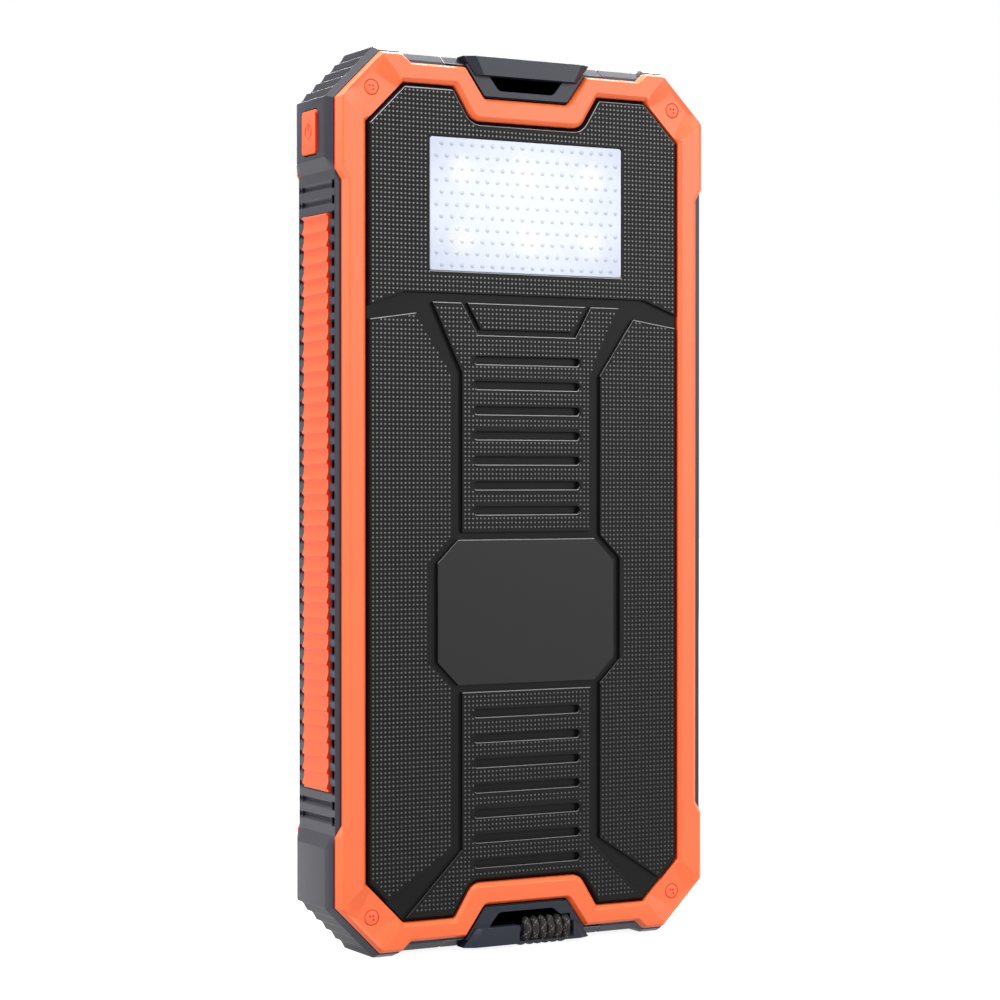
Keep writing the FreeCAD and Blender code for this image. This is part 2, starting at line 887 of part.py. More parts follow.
def islands(y_floor, y_top):
    """Raised pads of a panel: lamp zone, side pads, middle column, octagon and trapezoid."""
    far = frame_half_width
    zone_half = zone_edge_width / 2
    zone_far = zone_z - zone_slope * (far - zone_half)
    zone = both_sides(sharp([(far, frame_half_height), (far, zone_far), (zone_half, zone_z)]))
    column_half = column_width / 2
    flare_half = column_flare_width / 2
    pad_edge = column_half + side_channel
    pad_foot = column_bottom + pad_foot_rise
    shoulder_x = flare_half + pad_shoulder_gap
    shoulder_z = column_top - pad_shoulder_drop
    shoulder_far = shoulder_z - pad_shoulder_slope * (far - shoulder_x)
    foot_far = pad_foot - pad_foot_slope * (far - pad_edge)
    pad = sharp([(shoulder_x, shoulder_z), (far, shoulder_far), (far, foot_far),
                 (pad_edge, pad_foot), (pad_edge, flare_start)])
    foot_reach = frame_half_height + column_bottom
    column = both_sides(sharp([(flare_half, column_top), (column_half, flare_start),
                               (column_half, column_bottom),
                               (column_half + foot_reach, -frame_half_height)]))
    pad_solid = prism(pad, y_floor, y_top)
    body = fuse_all([prism(column, y_floor, y_top), pad_solid, mirror_x(pad_solid)])
    body = body.cut([prism(octagon(octagon_channel), y_floor, y_top),
                     prism(trapezoid(trapezoid_channel), y_floor, y_top)])
    parts = [body, prism(octagon(), y_floor, y_top), prism(trapezoid(), y_floor, y_top)]
    parts.append(prism(zone, y_floor, y_top))
    return parts


def panel_solid(with_lamp):
    """Panel for the front: a flange behind the frame and a field of pads in its opening."""
    seat = -case_half_depth
    top = seat - pad_height
    floor = top + channel_depth
    flange = prism(grow(window, panel_flange), seat, -panel_seat)
    field = raised_field()
    over = top - channel_depth
    channels = prism(grow(window, panel_flange), floor, over)
    channels = channels.cut(islands(floor, over))
    field = field.cut(channels)
    cuts = [slot_cut(z, top + slot_depth, over) for z in slot_heights()]
    if with_lamp:
        lamp = rectangle(-lamp_half_width, lamp_half_width, lamp_low, lamp_high, lamp_corner_radius)
        cuts.append(prism(lamp, over, -panel_seat))
    else:
        for x in light_places():
            cuts.append(rod(light_radius + close_gap, Vec(x, over, lamp_z), Vec(x, -panel_seat, lamp_z)))
    body = fuse_all([flange, field]).cut(cuts)
    if not with_lamp:
        return body
    posts = []
    holes = []
    for x, z in standoff_places():
        posts.append(rod(standoff_radius, Vec(x, -panel_seat, z), Vec(x, board_front, z)))
        holes.append(rod(board_screw_radius + close_gap / 2, Vec(x, board_front - board_screw_bite, z),
                         Vec(x, board_front, z)))
    return fuse_all([body] + posts).cut(holes)


def standoff_places():
    return [(side * standoff_x, z) for side in (1, -1) for z in standoff_z]


def light_places():
    first = -light_pitch * (light_count - 1) / 2
    return [first + i * light_pitch for i in range(light_count)]


# Grips

def right_grip():
    """Soft strip for the right side, its face a row of round ribs."""
    base = waist_half_width - grip_seat_depth
    crest = waist_half_width + grip_proud
    half_width = grip_width / 2
    half_height = grip_height / 2
    strip = block(base, crest, -half_width, half_width, -half_height, half_height)
    cuts = []
    radius = (rib_pitch ** 2 / 4 + grip_wave_depth ** 2) / (2 * grip_wave_depth) / 2
    for z in rib_heights():
        if abs(z) < half_height - rib_groove_width:
            centre = crest - grip_wave_depth + radius
            cuts.append(rod(radius, Vec(centre, -half_width, z), Vec(centre, half_width, z)))
    return strip.cut(cuts)


# Lamp

def led_lens():
    half = lamp_half_width - close_gap
    top = -case_half_depth - pad_height
    window_part = rectangle(-half, half, lamp_low + close_gap, lamp_high - close_gap, lamp_corner_radius)
    flange = rectangle(-lamp_half_width - lens_flange, lamp_half_width + lens_flange,
                       lamp_low - lens_flange, lamp_high + lens_flange)
    return fuse_all([prism(window_part, top, -panel_seat),
                     prism(flange, -panel_seat, -panel_seat + lens_flange_thickness)])


def lamp_stack():
    """Depths of the lamp: back of the lens, front and back of the LED board."""
    lens_back = -panel_seat + lens_flange_thickness
    board = lens_back + light_box_depth
    return lens_back, board, board + led_board_thickness


def lamp_frame_outline():
    return rectangle(-lamp_half_width - lens_flange, lamp_half_width + lens_flange,
                     lamp_low - lens_flange, lamp_high + lens_flange)


def light_box():
    lens_back, board, _ = lamp_stack()
    outer = prism(lamp_frame_outline(), lens_back, board)
    return outer.cut(prism(grow(lamp_frame_outline(), -light_box_wall), lens_back, board))


def led_board():
    _, front, back = lamp_stack()
    return prism(lamp_frame_outline(), front, back)


def led_chips():
    _, front, _ = lamp_stack()
    chips = []
    pitch_x = lamp_width / led_columns
    pitch_z = lamp_height / led_rows
    for i in range(led_columns):
        for j in range(led_rows):
            x = -lamp_half_width + (i + 0.5) * pitch_x
            z = lamp_low + (j + 0.5) * pitch_z
            chips.append(block(x - led_size / 2, x + led_size / 2, front - led_height, front,
                               z - led_size / 2, z + led_size / 2))
    return Part.makeCompound(chips)


# Boards and what they carry

def main_board():
    back = board_back
    half = sharp([(board_corner_sum - board_high, board_high),
                  (board_half_width, board_corner_sum - board_half_width), (board_half_width, board_low)])
    ear = block(-board_half_width, -board_half_width + switch_size, board_front, back,
                button_z - button_height / 2, button_z + button_height / 2)
    body = fuse_all([prism(both_sides(half), board_front, back), ear])
    holes = [rod(board_screw_radius + close_gap, Vec(x, board_front, z), Vec(x, back, z))
             for x, z in standoff_places()]
    return body.cut(holes)


def board_screws():
    back = board_back
    screws = []
    for x, z in standoff_places():
        head = rod(board_screw_head_radius, Vec(x, back, z), Vec(x, back + board_screw_head_height, z))
        tip = board_front - board_screw_bite + close_gap
        shank = rod(board_screw_radius, Vec(x, tip, z), Vec(x, back, z))
        screws.append(head.fuse(shank).removeSplitter())
    return Part.makeCompound(screws)


def board_parts():
    """Coil, two capacitors and two chips on the back of the main board."""
    back = board_back
    low = board_low + parts_rise
    parts = [block(coil_x - coil_size / 2, coil_x + coil_size / 2, back, back + coil_height, low, low + coil_size)]
    for x in chip_x:
        parts.append(block(x - chip_size / 2, x + chip_size / 2, back, back + chip_height, low, low + chip_size))
    z = low + coil_size + 2 * capacitor_radius
    for x in (-capacitor_x, capacitor_x):
        parts.append(rod(capacitor_radius, Vec(x, back, z), Vec(x, back + capacitor_height, z)))
    return Part.makeCompound(parts)


def power_switch():
    """Side switch on the main board, with a bore for its plunger."""
    back = board_back
    face = switch_face
    body = block(face, face + switch_size, back, back + switch_depth,
                 button_z - switch_size / 2, button_z + switch_size / 2)
    bore = rod(plunger_radius + close_gap, Vec(face, switch_y, button_z),
               Vec(face + plunger_depth + button_travel, switch_y, button_z))
    return body.cut(bore)


def switch_plunger():
    return rod(plunger_radius, Vec(switch_face - plunger_length, switch_y, button_z),
               Vec(switch_face + plunger_depth, switch_y, button_z))


def power_button():
    """Cap through the case wall, a flange behind it and a stem to the switch."""
    outer = -case_half_width - button_proud
    wall = -case_half_width + button_wall + 2 * close_gap
    stem_end = switch_face - plunger_length
    half_y = button_width / 2
    half_z = button_height / 2
    cap = side_prism(rectangle(-half_y, half_y, button_z - half_z, button_z + half_z, button_radius),
                     outer, wall + button_flange_thickness)
    spread = button_flange - close_gap
    flange = block(wall, wall + button_flange_thickness, -half_y - spread, half_y + spread,
                   button_z - half_z - spread, button_z + half_z + spread)
    stem = block(wall, stem_end, switch_y - button_stem / 2, switch_y + button_stem / 2,
                 button_z - button_stem / 2, button_z + button_stem / 2)
    return fuse_all([cap, flange, stem])


# Ports and their cover

def port_shell_solid(x, width, height, wall):
    """Open metal shell of a port, its mouth flush with the port wall."""
    back = board_back
    outer = block(x - width / 2, x + width / 2, back, back + height, port_foot, port_wall_top)
    inner = block(x - width / 2 + wall, x + width / 2 - wall, back + wall, back + height - wall,
                  port_foot + wall, port_wall_top)
    return outer.cut(inner)


def usb_port(x, width, height, tongue):
    """Shell with the tongue that carries its contacts."""
    back = board_back
    shell = port_shell_solid(x, width, height, port_shell)
    middle = back + height / 2
    leaf = block(x - width / 2 + 2 * port_shell, x + width / 2 - 2 * port_shell, middle - tongue / 2,
                 middle + tongue / 2, port_foot + port_shell, port_wall_top - tongue_inset)
    return fuse_all([shell, leaf])


def jump_socket():
    """Plastic socket with two round bores for the clamp lead's plug."""
    back = board_back
    body = block(jump_x - jump_width / 2, jump_x + jump_width / 2, back, back + jump_height,
                 port_foot, port_wall_top)
    middle = back + jump_height / 2
    bores = []
    for side in (-1, 1):
        x = jump_x + side * jump_pin_pitch / 2
        bores.append(rod(jump_bore_radius, Vec(x, middle, port_foot + jump_floor),
                         Vec(x, middle, port_wall_top)))
    return body.cut(bores)


def socket_pins():
    """Two gold pins standing in the jump socket."""
    middle = board_front + board_thickness + jump_height / 2
    foot = port_foot + jump_floor
    pins = []
    for side in (-1, 1):
        x = jump_x + side * jump_pin_pitch / 2
        pins.append(rod(jump_pin_radius, Vec(x, middle, foot), Vec(x, middle, port_wall_top - jump_pin_inset)))
    return Part.makeCompound(pins)


def port_cover():
    """Hinged cover: a knuckle along its front edge, a plate and a finger tab at the back."""
    wide = cover_half_width
    knuckle = rod(knuckle_radius, Vec(-wide, hinge_y, hinge_z), Vec(wide, hinge_y, hinge_z))
    plate = block(-wide, wide, hinge_y, case_half_depth, cover_underside, cover_top)
    slope_back = case_half_depth
    wedge_profile = [Vec(-wide - 1, rim_half_depth, cover_top), Vec(-wide - 1, slope_back, cover_top - end_slope),
                     Vec(-wide - 1, slope_back + 1, cover_top + 1), Vec(-wide - 1, rim_half_depth, cover_top + 1)]
    wedge = Part.Face(Part.makePolygon(wedge_profile + wedge_profile[:1])).extrude(Vec(2 * wide + 2, 0, 0))
    inner = case_half_depth + tab_gap / 2
    tab = prism(back_recess_outline(), inner, inner + tab_thickness)
    neck = block(-recess_floor_half_width, recess_floor_half_width, case_half_depth - tab_neck,
                 inner + tab_thickness, cover_underside, cover_top - end_slope)
    body = fuse_all([knuckle, plate.cut(wedge), tab, neck])
    return body.cut(rod(pin_radius + pin_gap, Vec(-wide, hinge_y, hinge_z), Vec(wide, hinge_y, hinge_z)))


def hinge_pin():
    reach = cover_half_width + cover_side_gap + pin_end
    return rod(pin_radius, Vec(-reach, hinge_y, hinge_z), Vec(reach, hinge_y, hinge_z))


# Battery

def battery_cells():
    cells = []
    for i in range(cell_count):
        y = i * cell_thickness - stack_half_depth
        cell = block(-cell_half_width, cell_half_width, y + close_gap, y + cell_thickness - close_gap,
                     cell_low, cell_high)
        upright = [edge for edge in cell.Edges if edge.BoundBox.ZLength > (cell_high - cell_low) / 2]
        cells.append(cell.makeFillet(cell_thickness * cell_corner_share, upright))
    return Part.makeCompound(cells)


def battery_pads():
    """Foam sheets before and behind the cells."""
    half_width = cell_half_width - pad_inset
    front = block(-half_width, half_width, -stack_half_depth - pad_thickness, -stack_half_depth,
                  cell_low + pad_inset, cell_high - pad_inset)
    return Part.makeCompound([front, mirror_y(front)])


def cell_tabs():
    tabs = []
    first = -cell_thickness * (cell_count - 1) / 2
    for i in range(cell_count):
        y = first + i * cell_thickness
        for side in (-1, 1):
            x = side * tab_x
            tabs.append(block(x - tab_width / 2, x + tab_width / 2, y - tab_sheet / 2, y + tab_sheet / 2,
                              cell_high, cell_high + tab_length))
    return Part.makeCompound(tabs)


def protection_board():
    half_width = cavity_half_width - pack_board_side_gap
    half_depth = panel_seat - pack_board_front_gap
    return block(-half_width, half_width, -half_depth, half_depth,
                 pack_board_z, pack_board_z + pack_board_thickness)


def battery_leads():
    """Two thick leads from the protection board up to the jump socket."""
    low = pack_board_z + pack_board_thickness
    leads = []
    for side in (-1, 1):
        x = jump_x + side * jump_pin_pitch / 2
        leads.append(rod(lead_radius, Vec(x, lead_y, low), Vec(x, lead_y, port_foot)))
    return Part.makeCompound(leads)


def charge_lights():
    """Light pipes for the charge display: pins through the back panel on one bar."""
    outer = case_half_depth + pad_height
    half = light_pitch * light_count / 2
    bar = block(-half, half, panel_seat - light_bar_depth, panel_seat,
                lamp_z - light_bar_height / 2, lamp_z + light_bar_height / 2)
    pins = [rod(light_radius, Vec(x, panel_seat, lamp_z), Vec(x, outer, lamp_z)) for x in light_places()]
    return fuse_all([bar] + pins)


# Lanyard loops and the cord

def bar_body():
    """Bar of the upper loop: a bevelled block with a smaller face in front."""
    wide = bar_base_width / 2
    narrow = bar_front_width / 2
    base = both_sides(sharp([(wide, bar_high), (wide - bar_base_taper, bar_low)]))
    face = both_sides(sharp([(narrow, bar_high), (narrow - bar_front_taper, bar_low)]))
    return fuse_all([tapered(face, bar_front, base, bar_shoulder), prism(base, bar_shoulder, bar_back)])


def shoulder_wedge():
    """Cut that gives the loop's boss the slope of the end of the band."""
    wide = loop_half_width + 1
    points = [Vec(-wide, -rim_half_depth, end_height), Vec(-wide, -case_half_depth, end_height - end_slope),
              Vec(-wide, -case_half_depth - 2, end_height - end_slope), Vec(-wide, -case_half_depth - 2, end_height + 1),
              Vec(-wide, -rim_half_depth, end_height + 1)]
    return Part.Face(Part.makePolygon(points + points[:1])).extrude(Vec(2 * wide, 0, 0))


def lanyard_loop(right_room=0.0):
    """Loop for the upper end: a boss let into the band, a dish and a bar with a slot behind it."""
    boss = prism(loop_outline(), -case_half_depth, loop_back).cut(shoulder_wedge())
    dish_outline = grow(back_recess_outline(), tab_gap - part_gap)
    dish = prism(dish_outline, loop_dish_front, -case_half_depth)
    bar = bar_body()
    half = lanyard_slot_width / 2
    mouth = both_sides([(half, bar_low, 0.0), (half - lanyard_slot_taper, lanyard_slot_floor, lanyard_slot_radius)])
    mouth[0] = (half + right_room, bar_low, 0.0)
    slot = prism(mouth, bar_front, lanyard_slot_back)
    channel = block(-half, half + right_room, bar_back, lanyard_slot_back,
                    bar_low - lanyard_slot_depth / 2, case_half_height)
    body = fuse_all([boss, dish])
    return fuse_all([body.cut([slot, channel]), bar])


def cord_centre():
    """Middle of the winding, seen along X, in the case's own heights."""
    outer = cord_loop_radius + cord_diameter / 2
    return Vec(cord_centre_x, cord_centre_y, -case_half_height + cord_floor_gap + outer)


def cord_ends():
    """Places along X of the cord's first pass under the bar and of its last pass over it."""
    step = cord_pitch / 4
    first = cord_centre_x - (cord_turns - 1) * cord_pitch / 2
    last = cord_centre_x + (cord_turns - 1) * cord_pitch / 2
    return first - step - cord_start_spread, last + step + cord_end_spread


def bottom_loop():
    """Lower loop, its bar turned down to a round core where the cord is wound."""
    body = mirror_z(lanyard_loop(winding_slot_room))
    centre = cord_centre()
    start, end = cord_ends()
    side = cord_diameter / 2 + cord_side_gap
    outer = cord_loop_radius + cord_diameter / 2 + cord_round_gap
    left = Vec(start - side - cord_start_room, centre.y, centre.z)
    right = Vec(end + side, centre.y, centre.z)
    core = rod(cord_loop_radius - cord_diameter / 2 - cord_core_gap, left, right)
    top = centre.z + cord_loop_radius
    entry = rod(side, Vec(end, centre.y, top), Vec(end, lanyard_slot_back, top))
    return fuse_all([body.cut([rod(outer, left, right), entry]), core])


def biarc(p0, t0, p1, t1):
    """Two arcs that leave one point and reach another along given directions."""
    chord = p1 - p0
    total = t0 + t1
    a = 2.0 * (1.0 - t0.dot(t1))
    b = 2.0 * chord.dot(total)
    c = -chord.dot(chord)
    parallel = math.isclose(a, 0.0, abs_tol=1e-9)
    d = -c / b if parallel else (-b + math.sqrt(b * b - 4.0 * a * c)) / (2.0 * a)
    q0 = p0 + t0 * d
    q1 = p1 - t1 * d
    joint = (q0 + q1) * 0.5
    return [(p0, q0, joint), (joint, q1, p1)]


def arc_edge(start, corner, end):
    """Arc between two points whose tangents meet at a corner, and its radius."""
    middle = (start + end) * 0.5
    half_chord = (end - start).Length / 2.0
    rise = (corner - middle).Length
    slope = math.atan2(rise, half_chord)
    top = middle + (corner - middle).normalize() * (half_chord * math.tan(slope / 2.0))
    return Part.Arc(start, top, end).toShape(), half_chord / math.sin(slope)


def cord_route():
    """Line of the cord: from the slot's back wall under the bar, six turns round its core, back into the wall."""
    centre = cord_centre()
    quarters = cord_turns * 4 - 2
    step = cord_pitch / 4
    lean = step / (cord_loop_radius * math.pi / 2)
    start, end = cord_ends()
    bottom = centre.z - cord_loop_radius
    points = [Vec(start, lanyard_slot_back, bottom + cord_start_rise)]
    directions = [Vec(0, -1, 0)]
    x = start
    for i in range(quarters + 1):
        angle = math.pi / 2 * i
        points.append(Vec(x, centre.y - cord_loop_radius * math.sin(angle),
                          centre.z - cord_loop_radius * math.cos(angle)))
        across = 0.0 if i in (0, quarters) else lean
        directions.append(Vec(across, -math.cos(angle), math.sin(angle)).normalize())
        x += step + (cord_start_spread if i == 0 else 0.0) + (cord_end_spread if i == quarters - 1 else 0.0)
    edges = []
    radii = []
    for i in range(quarters + 1):
        for p0, corner, p1 in biarc(points[i], directions[i], points[i + 1], directions[i + 1]):
            edge, radius = arc_edge(p0, corner, p1)
            edges.append(edge)
            radii.append(radius)
    wall = Vec(end, lanyard_slot_back, points[-1].z)
    edges.append(Part.LineSegment(points[-1], wall).toShape())
    return edges, radii


def least_gap(edges):
    """Smallest gap between stretches of the cord that aren't neighbours along it."""
    spacing = cord_diameter / 4
    places = []
    along = 0.0
    for edge in edges:
        count = max(2, int(edge.Length / spacing))
        for i in range(count):
            places.append((along + edge.Length * i / count, edge.valueAt(edge.getParameterByLength(
                edge.Length * i / count))))
        along += edge.Length
    apart = math.pi * cord_loop_radius
    least = None
    for i, (s0, p0) in enumerate(places):
        for s1, p1 in places[i + 1:]:
            if s1 - s0 > apart:
                distance = (p1 - p0).Length
                least = distance if least is None else min(least, distance)
    return least - cord_diameter


def lanyard_cord():
    edges, radii = cord_route()
    wire = Part.Wire(edges)
    start = edges[0].valueAt(edges[0].FirstParameter)
    profile = Part.Wire([Part.makeCircle(cord_diameter / 2, start, Vec(0, -1, 0))])
    tube = wire.makePipeShell([profile], True, False)
    section = math.pi * cord_diameter ** 2 / 4
    print("cord length", round(wire.Length, 2), "radii", round(min(radii), 2), "to", round(max(radii), 2))
    print("cord volume against section times length", round(tube.Volume / (section * wire.Length), 4))
    print("cord least gap", round(least_gap(edges), 3), "wanted over", cord_least_gap)
    return tube


save("mid_case", mid_case())
save("front_panel", panel_solid(True))
save("back_panel", mirror_y(panel_solid(False)))
save("front_frame", frame_solid())
save("back_frame", mirror_y(frame_solid()))
save("front_gasket", seal_ring())
save("back_gasket", mirror_y(seal_ring()))
save("front_screws", frame_screws())
save("back_screws", mirror_y(frame_screws()))
save("front_screw_plugs", screw_plugs())
save("back_screw_plugs", mirror_y(screw_plugs()))
save("right_grip", right_grip())
save("left_grip", mirror_x(right_grip()))
save("led_lens", led_lens())
save("light_box", light_box())
save("led_board", led_board())
save("led_chips", led_chips())
save("main_board", main_board())
save("board_screws", board_screws())
save("board_parts", board_parts())
save("power_switch", power_switch())
save("switch_plunger", switch_plunger())
save("power_button", power_button())
save("usb_a_port", usb_port(usb_a_x, usb_a_width, usb_a_height, usb_a_tongue))
save("usb_c_port", usb_port(usb_c_x, usb_c_width, usb_c_height, usb_c_tongue))
save("jump_socket", jump_socket())
save("socket_pins", socket_pins())
save("port_seal", port_seal())
save("port_cover", port_cover())
save("hinge_pin", hinge_pin())
save("battery_cells", battery_cells())
save("battery_pads", battery_pads())
save("cell_tabs", cell_tabs())
save("protection_board", protection_board())
save("battery_leads", battery_leads())
save("charge_lights", charge_lights())
save("top_lanyard_loop", lanyard_loop())
save("bottom_lanyard_loop", bottom_loop())
save("lanyard_cord", lanyard_cord())
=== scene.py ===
# Pocket jump starter in a rugged case, standing on its lower end with the lamp side towards -Y.
# Everything is in metres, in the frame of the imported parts. Only what a shader measures is in millimetres.
import bmesh
import bpy
import json
import math
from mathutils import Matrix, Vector
from mathutils.bvhtree import BVHTree

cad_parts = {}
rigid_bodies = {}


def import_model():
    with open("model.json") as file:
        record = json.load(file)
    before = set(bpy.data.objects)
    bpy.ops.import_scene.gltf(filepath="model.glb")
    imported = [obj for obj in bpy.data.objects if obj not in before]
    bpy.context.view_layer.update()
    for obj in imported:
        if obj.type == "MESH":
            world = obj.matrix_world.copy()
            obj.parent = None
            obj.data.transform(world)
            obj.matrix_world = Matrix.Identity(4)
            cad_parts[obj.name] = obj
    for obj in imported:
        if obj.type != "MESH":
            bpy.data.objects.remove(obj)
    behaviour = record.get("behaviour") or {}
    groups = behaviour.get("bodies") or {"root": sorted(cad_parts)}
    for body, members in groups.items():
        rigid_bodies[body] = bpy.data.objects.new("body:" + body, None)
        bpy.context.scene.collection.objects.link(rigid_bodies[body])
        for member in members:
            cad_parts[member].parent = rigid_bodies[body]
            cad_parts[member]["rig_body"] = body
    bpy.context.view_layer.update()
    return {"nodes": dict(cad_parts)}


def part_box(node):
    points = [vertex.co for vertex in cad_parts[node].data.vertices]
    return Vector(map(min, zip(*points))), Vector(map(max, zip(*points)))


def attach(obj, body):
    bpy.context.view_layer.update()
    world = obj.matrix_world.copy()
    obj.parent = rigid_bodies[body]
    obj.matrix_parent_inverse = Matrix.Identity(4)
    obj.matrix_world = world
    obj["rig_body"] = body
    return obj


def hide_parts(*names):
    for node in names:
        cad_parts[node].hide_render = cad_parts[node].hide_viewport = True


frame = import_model()
bpy.ops.object.select_all(action="DESELECT")
mm = 0.001


# Camera, at the place it had for the picture: half a metre off, to the left and level with the pack.
# Its place, aim and lens come from points matched on the orange frame.
camera_data = bpy.data.cameras.new("camera")
camera_data.sensor_width = 36.0
camera_data.lens = 95.4
camera = bpy.data.objects.new("camera", camera_data)
bpy.context.scene.collection.objects.link(camera)
camera.location = (-0.2613, -0.4698, 0.09346)
camera.rotation_euler = Vector((0.4848, 0.8746, -0.00808)).to_track_quat("-Z", "Y").to_euler()
bpy.context.scene.camera = camera


# Lanyard cord: a thin round braid, black with a few pale threads, wound six times round the lower bar.
# Both ends go into the wall behind the bar. It is a limp cord of polyester over a soft core.
cord_diameter = 1.56 * mm
cord_turns = 6
cord_pitch = 1.79 * mm
cord_turn_radius = 2.1 * mm
cord_axis_y = -8.0 * mm
cord_axis_z = 2.925 * mm
cord_wall_y = -4.6 * mm
cord_first_pass_x = -0.175 * mm
cord_start_spread = 0.4 * mm
cord_end_spread = 0.15 * mm
cord_start_rise = 1.2 * mm
cord_step_degrees = 30
cord_sides = 32
braid_strands = 12
braid_advance = 4.4 * mm
braid_relief = 0.05 * mm
pale_every = 6


def cord_points():
    """Control points of the cord's line: in from the wall, round the bar, back into the wall."""
    quarter = cord_pitch / 4
    start_x = cord_first_pass_x - quarter - cord_start_spread
    half_turns = 2 * cord_turns - 1
    end_x = cord_first_pass_x + (half_turns * 2 - 1) * quarter + cord_end_spread
    last = half_turns * 180
    low = cord_axis_z - cord_turn_radius
    high = cord_axis_z + cord_turn_radius
    depth = cord_wall_y - cord_axis_y
    points = [(start_x, cord_wall_y, low + cord_start_rise),
              (start_x, cord_wall_y - depth / 3, low + cord_start_rise),
              (start_x, cord_axis_y + depth / 3, low)]
    reach = cord_turn_radius / math.cos(math.radians(cord_step_degrees / 2))
    for degrees in range(cord_step_degrees // 2, last, cord_step_degrees):
        x = cord_first_pass_x + (degrees / 90 - 1) * quarter
        x -= cord_start_spread * max(0.0, 1 - degrees / 90)
        x += cord_end_spread * max(0.0, 1 - (last - degrees) / 90)
        angle = math.radians(degrees)
        points.append((x, cord_axis_y - reach * math.sin(angle), cord_axis_z - reach * math.cos(angle)))
    points.append((end_x, cord_axis_y + depth / 3, high))
    points.append((end_x, cord_wall_y, high))
    return points


def points_along(name, points):
    """Points read from a smooth line through its control points."""
    line = bpy.data.curves.new(name, "CURVE")
    line.dimensions = "3D"
    line.resolution_u = 12
    spline = line.splines.new("NURBS")
    spline.points.add(len(points) - 1)
    for knot, place in zip(spline.points, points):
        knot.co = (*place, 1.0)
    spline.order_u = 3
    spline.use_endpoint_u = True
    holder = bpy.data.objects.new(name, line)
    bpy.context.scene.collection.objects.link(holder)
    mesh = bpy.data.meshes.new_from_object(holder)
    places = [v.co.copy() for v in mesh.vertices]
    bpy.data.objects.remove(holder)
    bpy.data.curves.remove(line)
    bpy.data.meshes.remove(mesh)
    return places


def braid_height(around, along):
    """Height of the braid's surface: a pillow at every crossing of two strands."""
    one = math.sin(math.pi * braid_strands * (around + along))
    other = math.sin(math.pi * braid_strands * (around - along))
    return math.sqrt(abs(one * other))


def braided_cord(name, path):
    """Tube along the path with the braid's relief, and a UV map of turns round it and along it."""
    mesh = bpy.data.meshes.new(name)
    shape = bmesh.new()
    uv = shape.loops.layers.uv.new("braid")
    side = Vector((1, 0, 0))
    length = 0.0
    rings = []
    lengths = []
    for i, place in enumerate(path):
        forward = (path[min(i + 1, len(path) - 1)] - path[max(i - 1, 0)]).normalized()
        side = (side - forward * side.dot(forward)).normalized()
        up = forward.cross(side)
        length += (place - path[i - 1]).length if i else 0.0
        ring = []
        for k in range(cord_sides):
            around = k / cord_sides
            height = braid_height(around, length / braid_advance)
            radius = cord_diameter / 2 - braid_relief * (1 - height)
            turn = 2 * math.pi * around
            ring.append(shape.verts.new(place + (side * math.cos(turn) + up * math.sin(turn)) * radius))
        rings.append(ring)
        lengths.append(length / braid_advance)
    for i in range(len(rings) - 1):
        for k in range(cord_sides):
            after = (k + 1) % cord_sides
            face = shape.faces.new((rings[i][k], rings[i][after], rings[i + 1][after], rings[i + 1][k]))
            face.smooth = True
            corners = ((k, i), (k + 1, i), (k + 1, i + 1), (k, i + 1))
            for loop, (round_count, ring_count) in zip(face.loops, corners):
                loop[uv].uv = (round_count / cord_sides, lengths[ring_count])
    shape.faces.new(list(reversed(rings[0])))
    shape.faces.new(rings[-1])
    bmesh.ops.recalc_face_normals(shape, faces=shape.faces)
    shape.to_mesh(mesh)
    shape.free()
    cord = bpy.data.objects.new(name, mesh)
    bpy.context.scene.collection.objects.link(cord)
    return cord, length


class Amount:
    """A number that changes over a surface. Written in sums, it lays out the shader's maths."""

    def __init__(self, socket):
        self.socket = socket

    def maths(self, operation, *terms):
        node = self.socket.id_data.nodes.new("ShaderNodeMath")
        node.operation = operation
        for slot, term in zip(node.inputs, terms):
            connect(slot, term)
        return Amount(node.outputs[0])

    def __add__(self, other):
        return self.maths("ADD", self, other)

    def __radd__(self, other):
        return self.maths("ADD", other, self)

    def __sub__(self, other):
        return self.maths("SUBTRACT", self, other)

    def __rsub__(self, other):
        return self.maths("SUBTRACT", other, self)

    def __mul__(self, other):
        return self.maths("MULTIPLY", self, other)

    def __rmul__(self, other):
        return self.maths("MULTIPLY", other, self)

    def __truediv__(self, other):
        return self.maths("DIVIDE", self, other)

    def __mod__(self, other):
        return self.maths("FLOORED_MODULO", self, other)

    def __pow__(self, other):
        return self.maths("POWER", self, other)

    def __lt__(self, other):
        return self.maths("LESS_THAN", self, other)

    def __gt__(self, other):
        return self.maths("GREATER_THAN", self, other)

    def __abs__(self):
        return self.maths("ABSOLUTE", self)

    def __floor__(self):
        return self.maths("FLOOR", self)

    def sine(self):
        return self.maths("SINE", self)

    def largest(self, other):
        return self.maths("MAXIMUM", self, other)

    def smallest(self, other):
        return self.maths("MINIMUM", self, other)

    def clamped(self):
        return self.largest(0.0).smallest(1.0)


def connect(slot, value):
    """Give an input a link or a plain value."""
    if isinstance(value, Amount):
        value = value.socket
    if isinstance(value, bpy.types.NodeSocket):
        slot.id_data.links.new(value, slot)
    else:
        slot.default_value = value


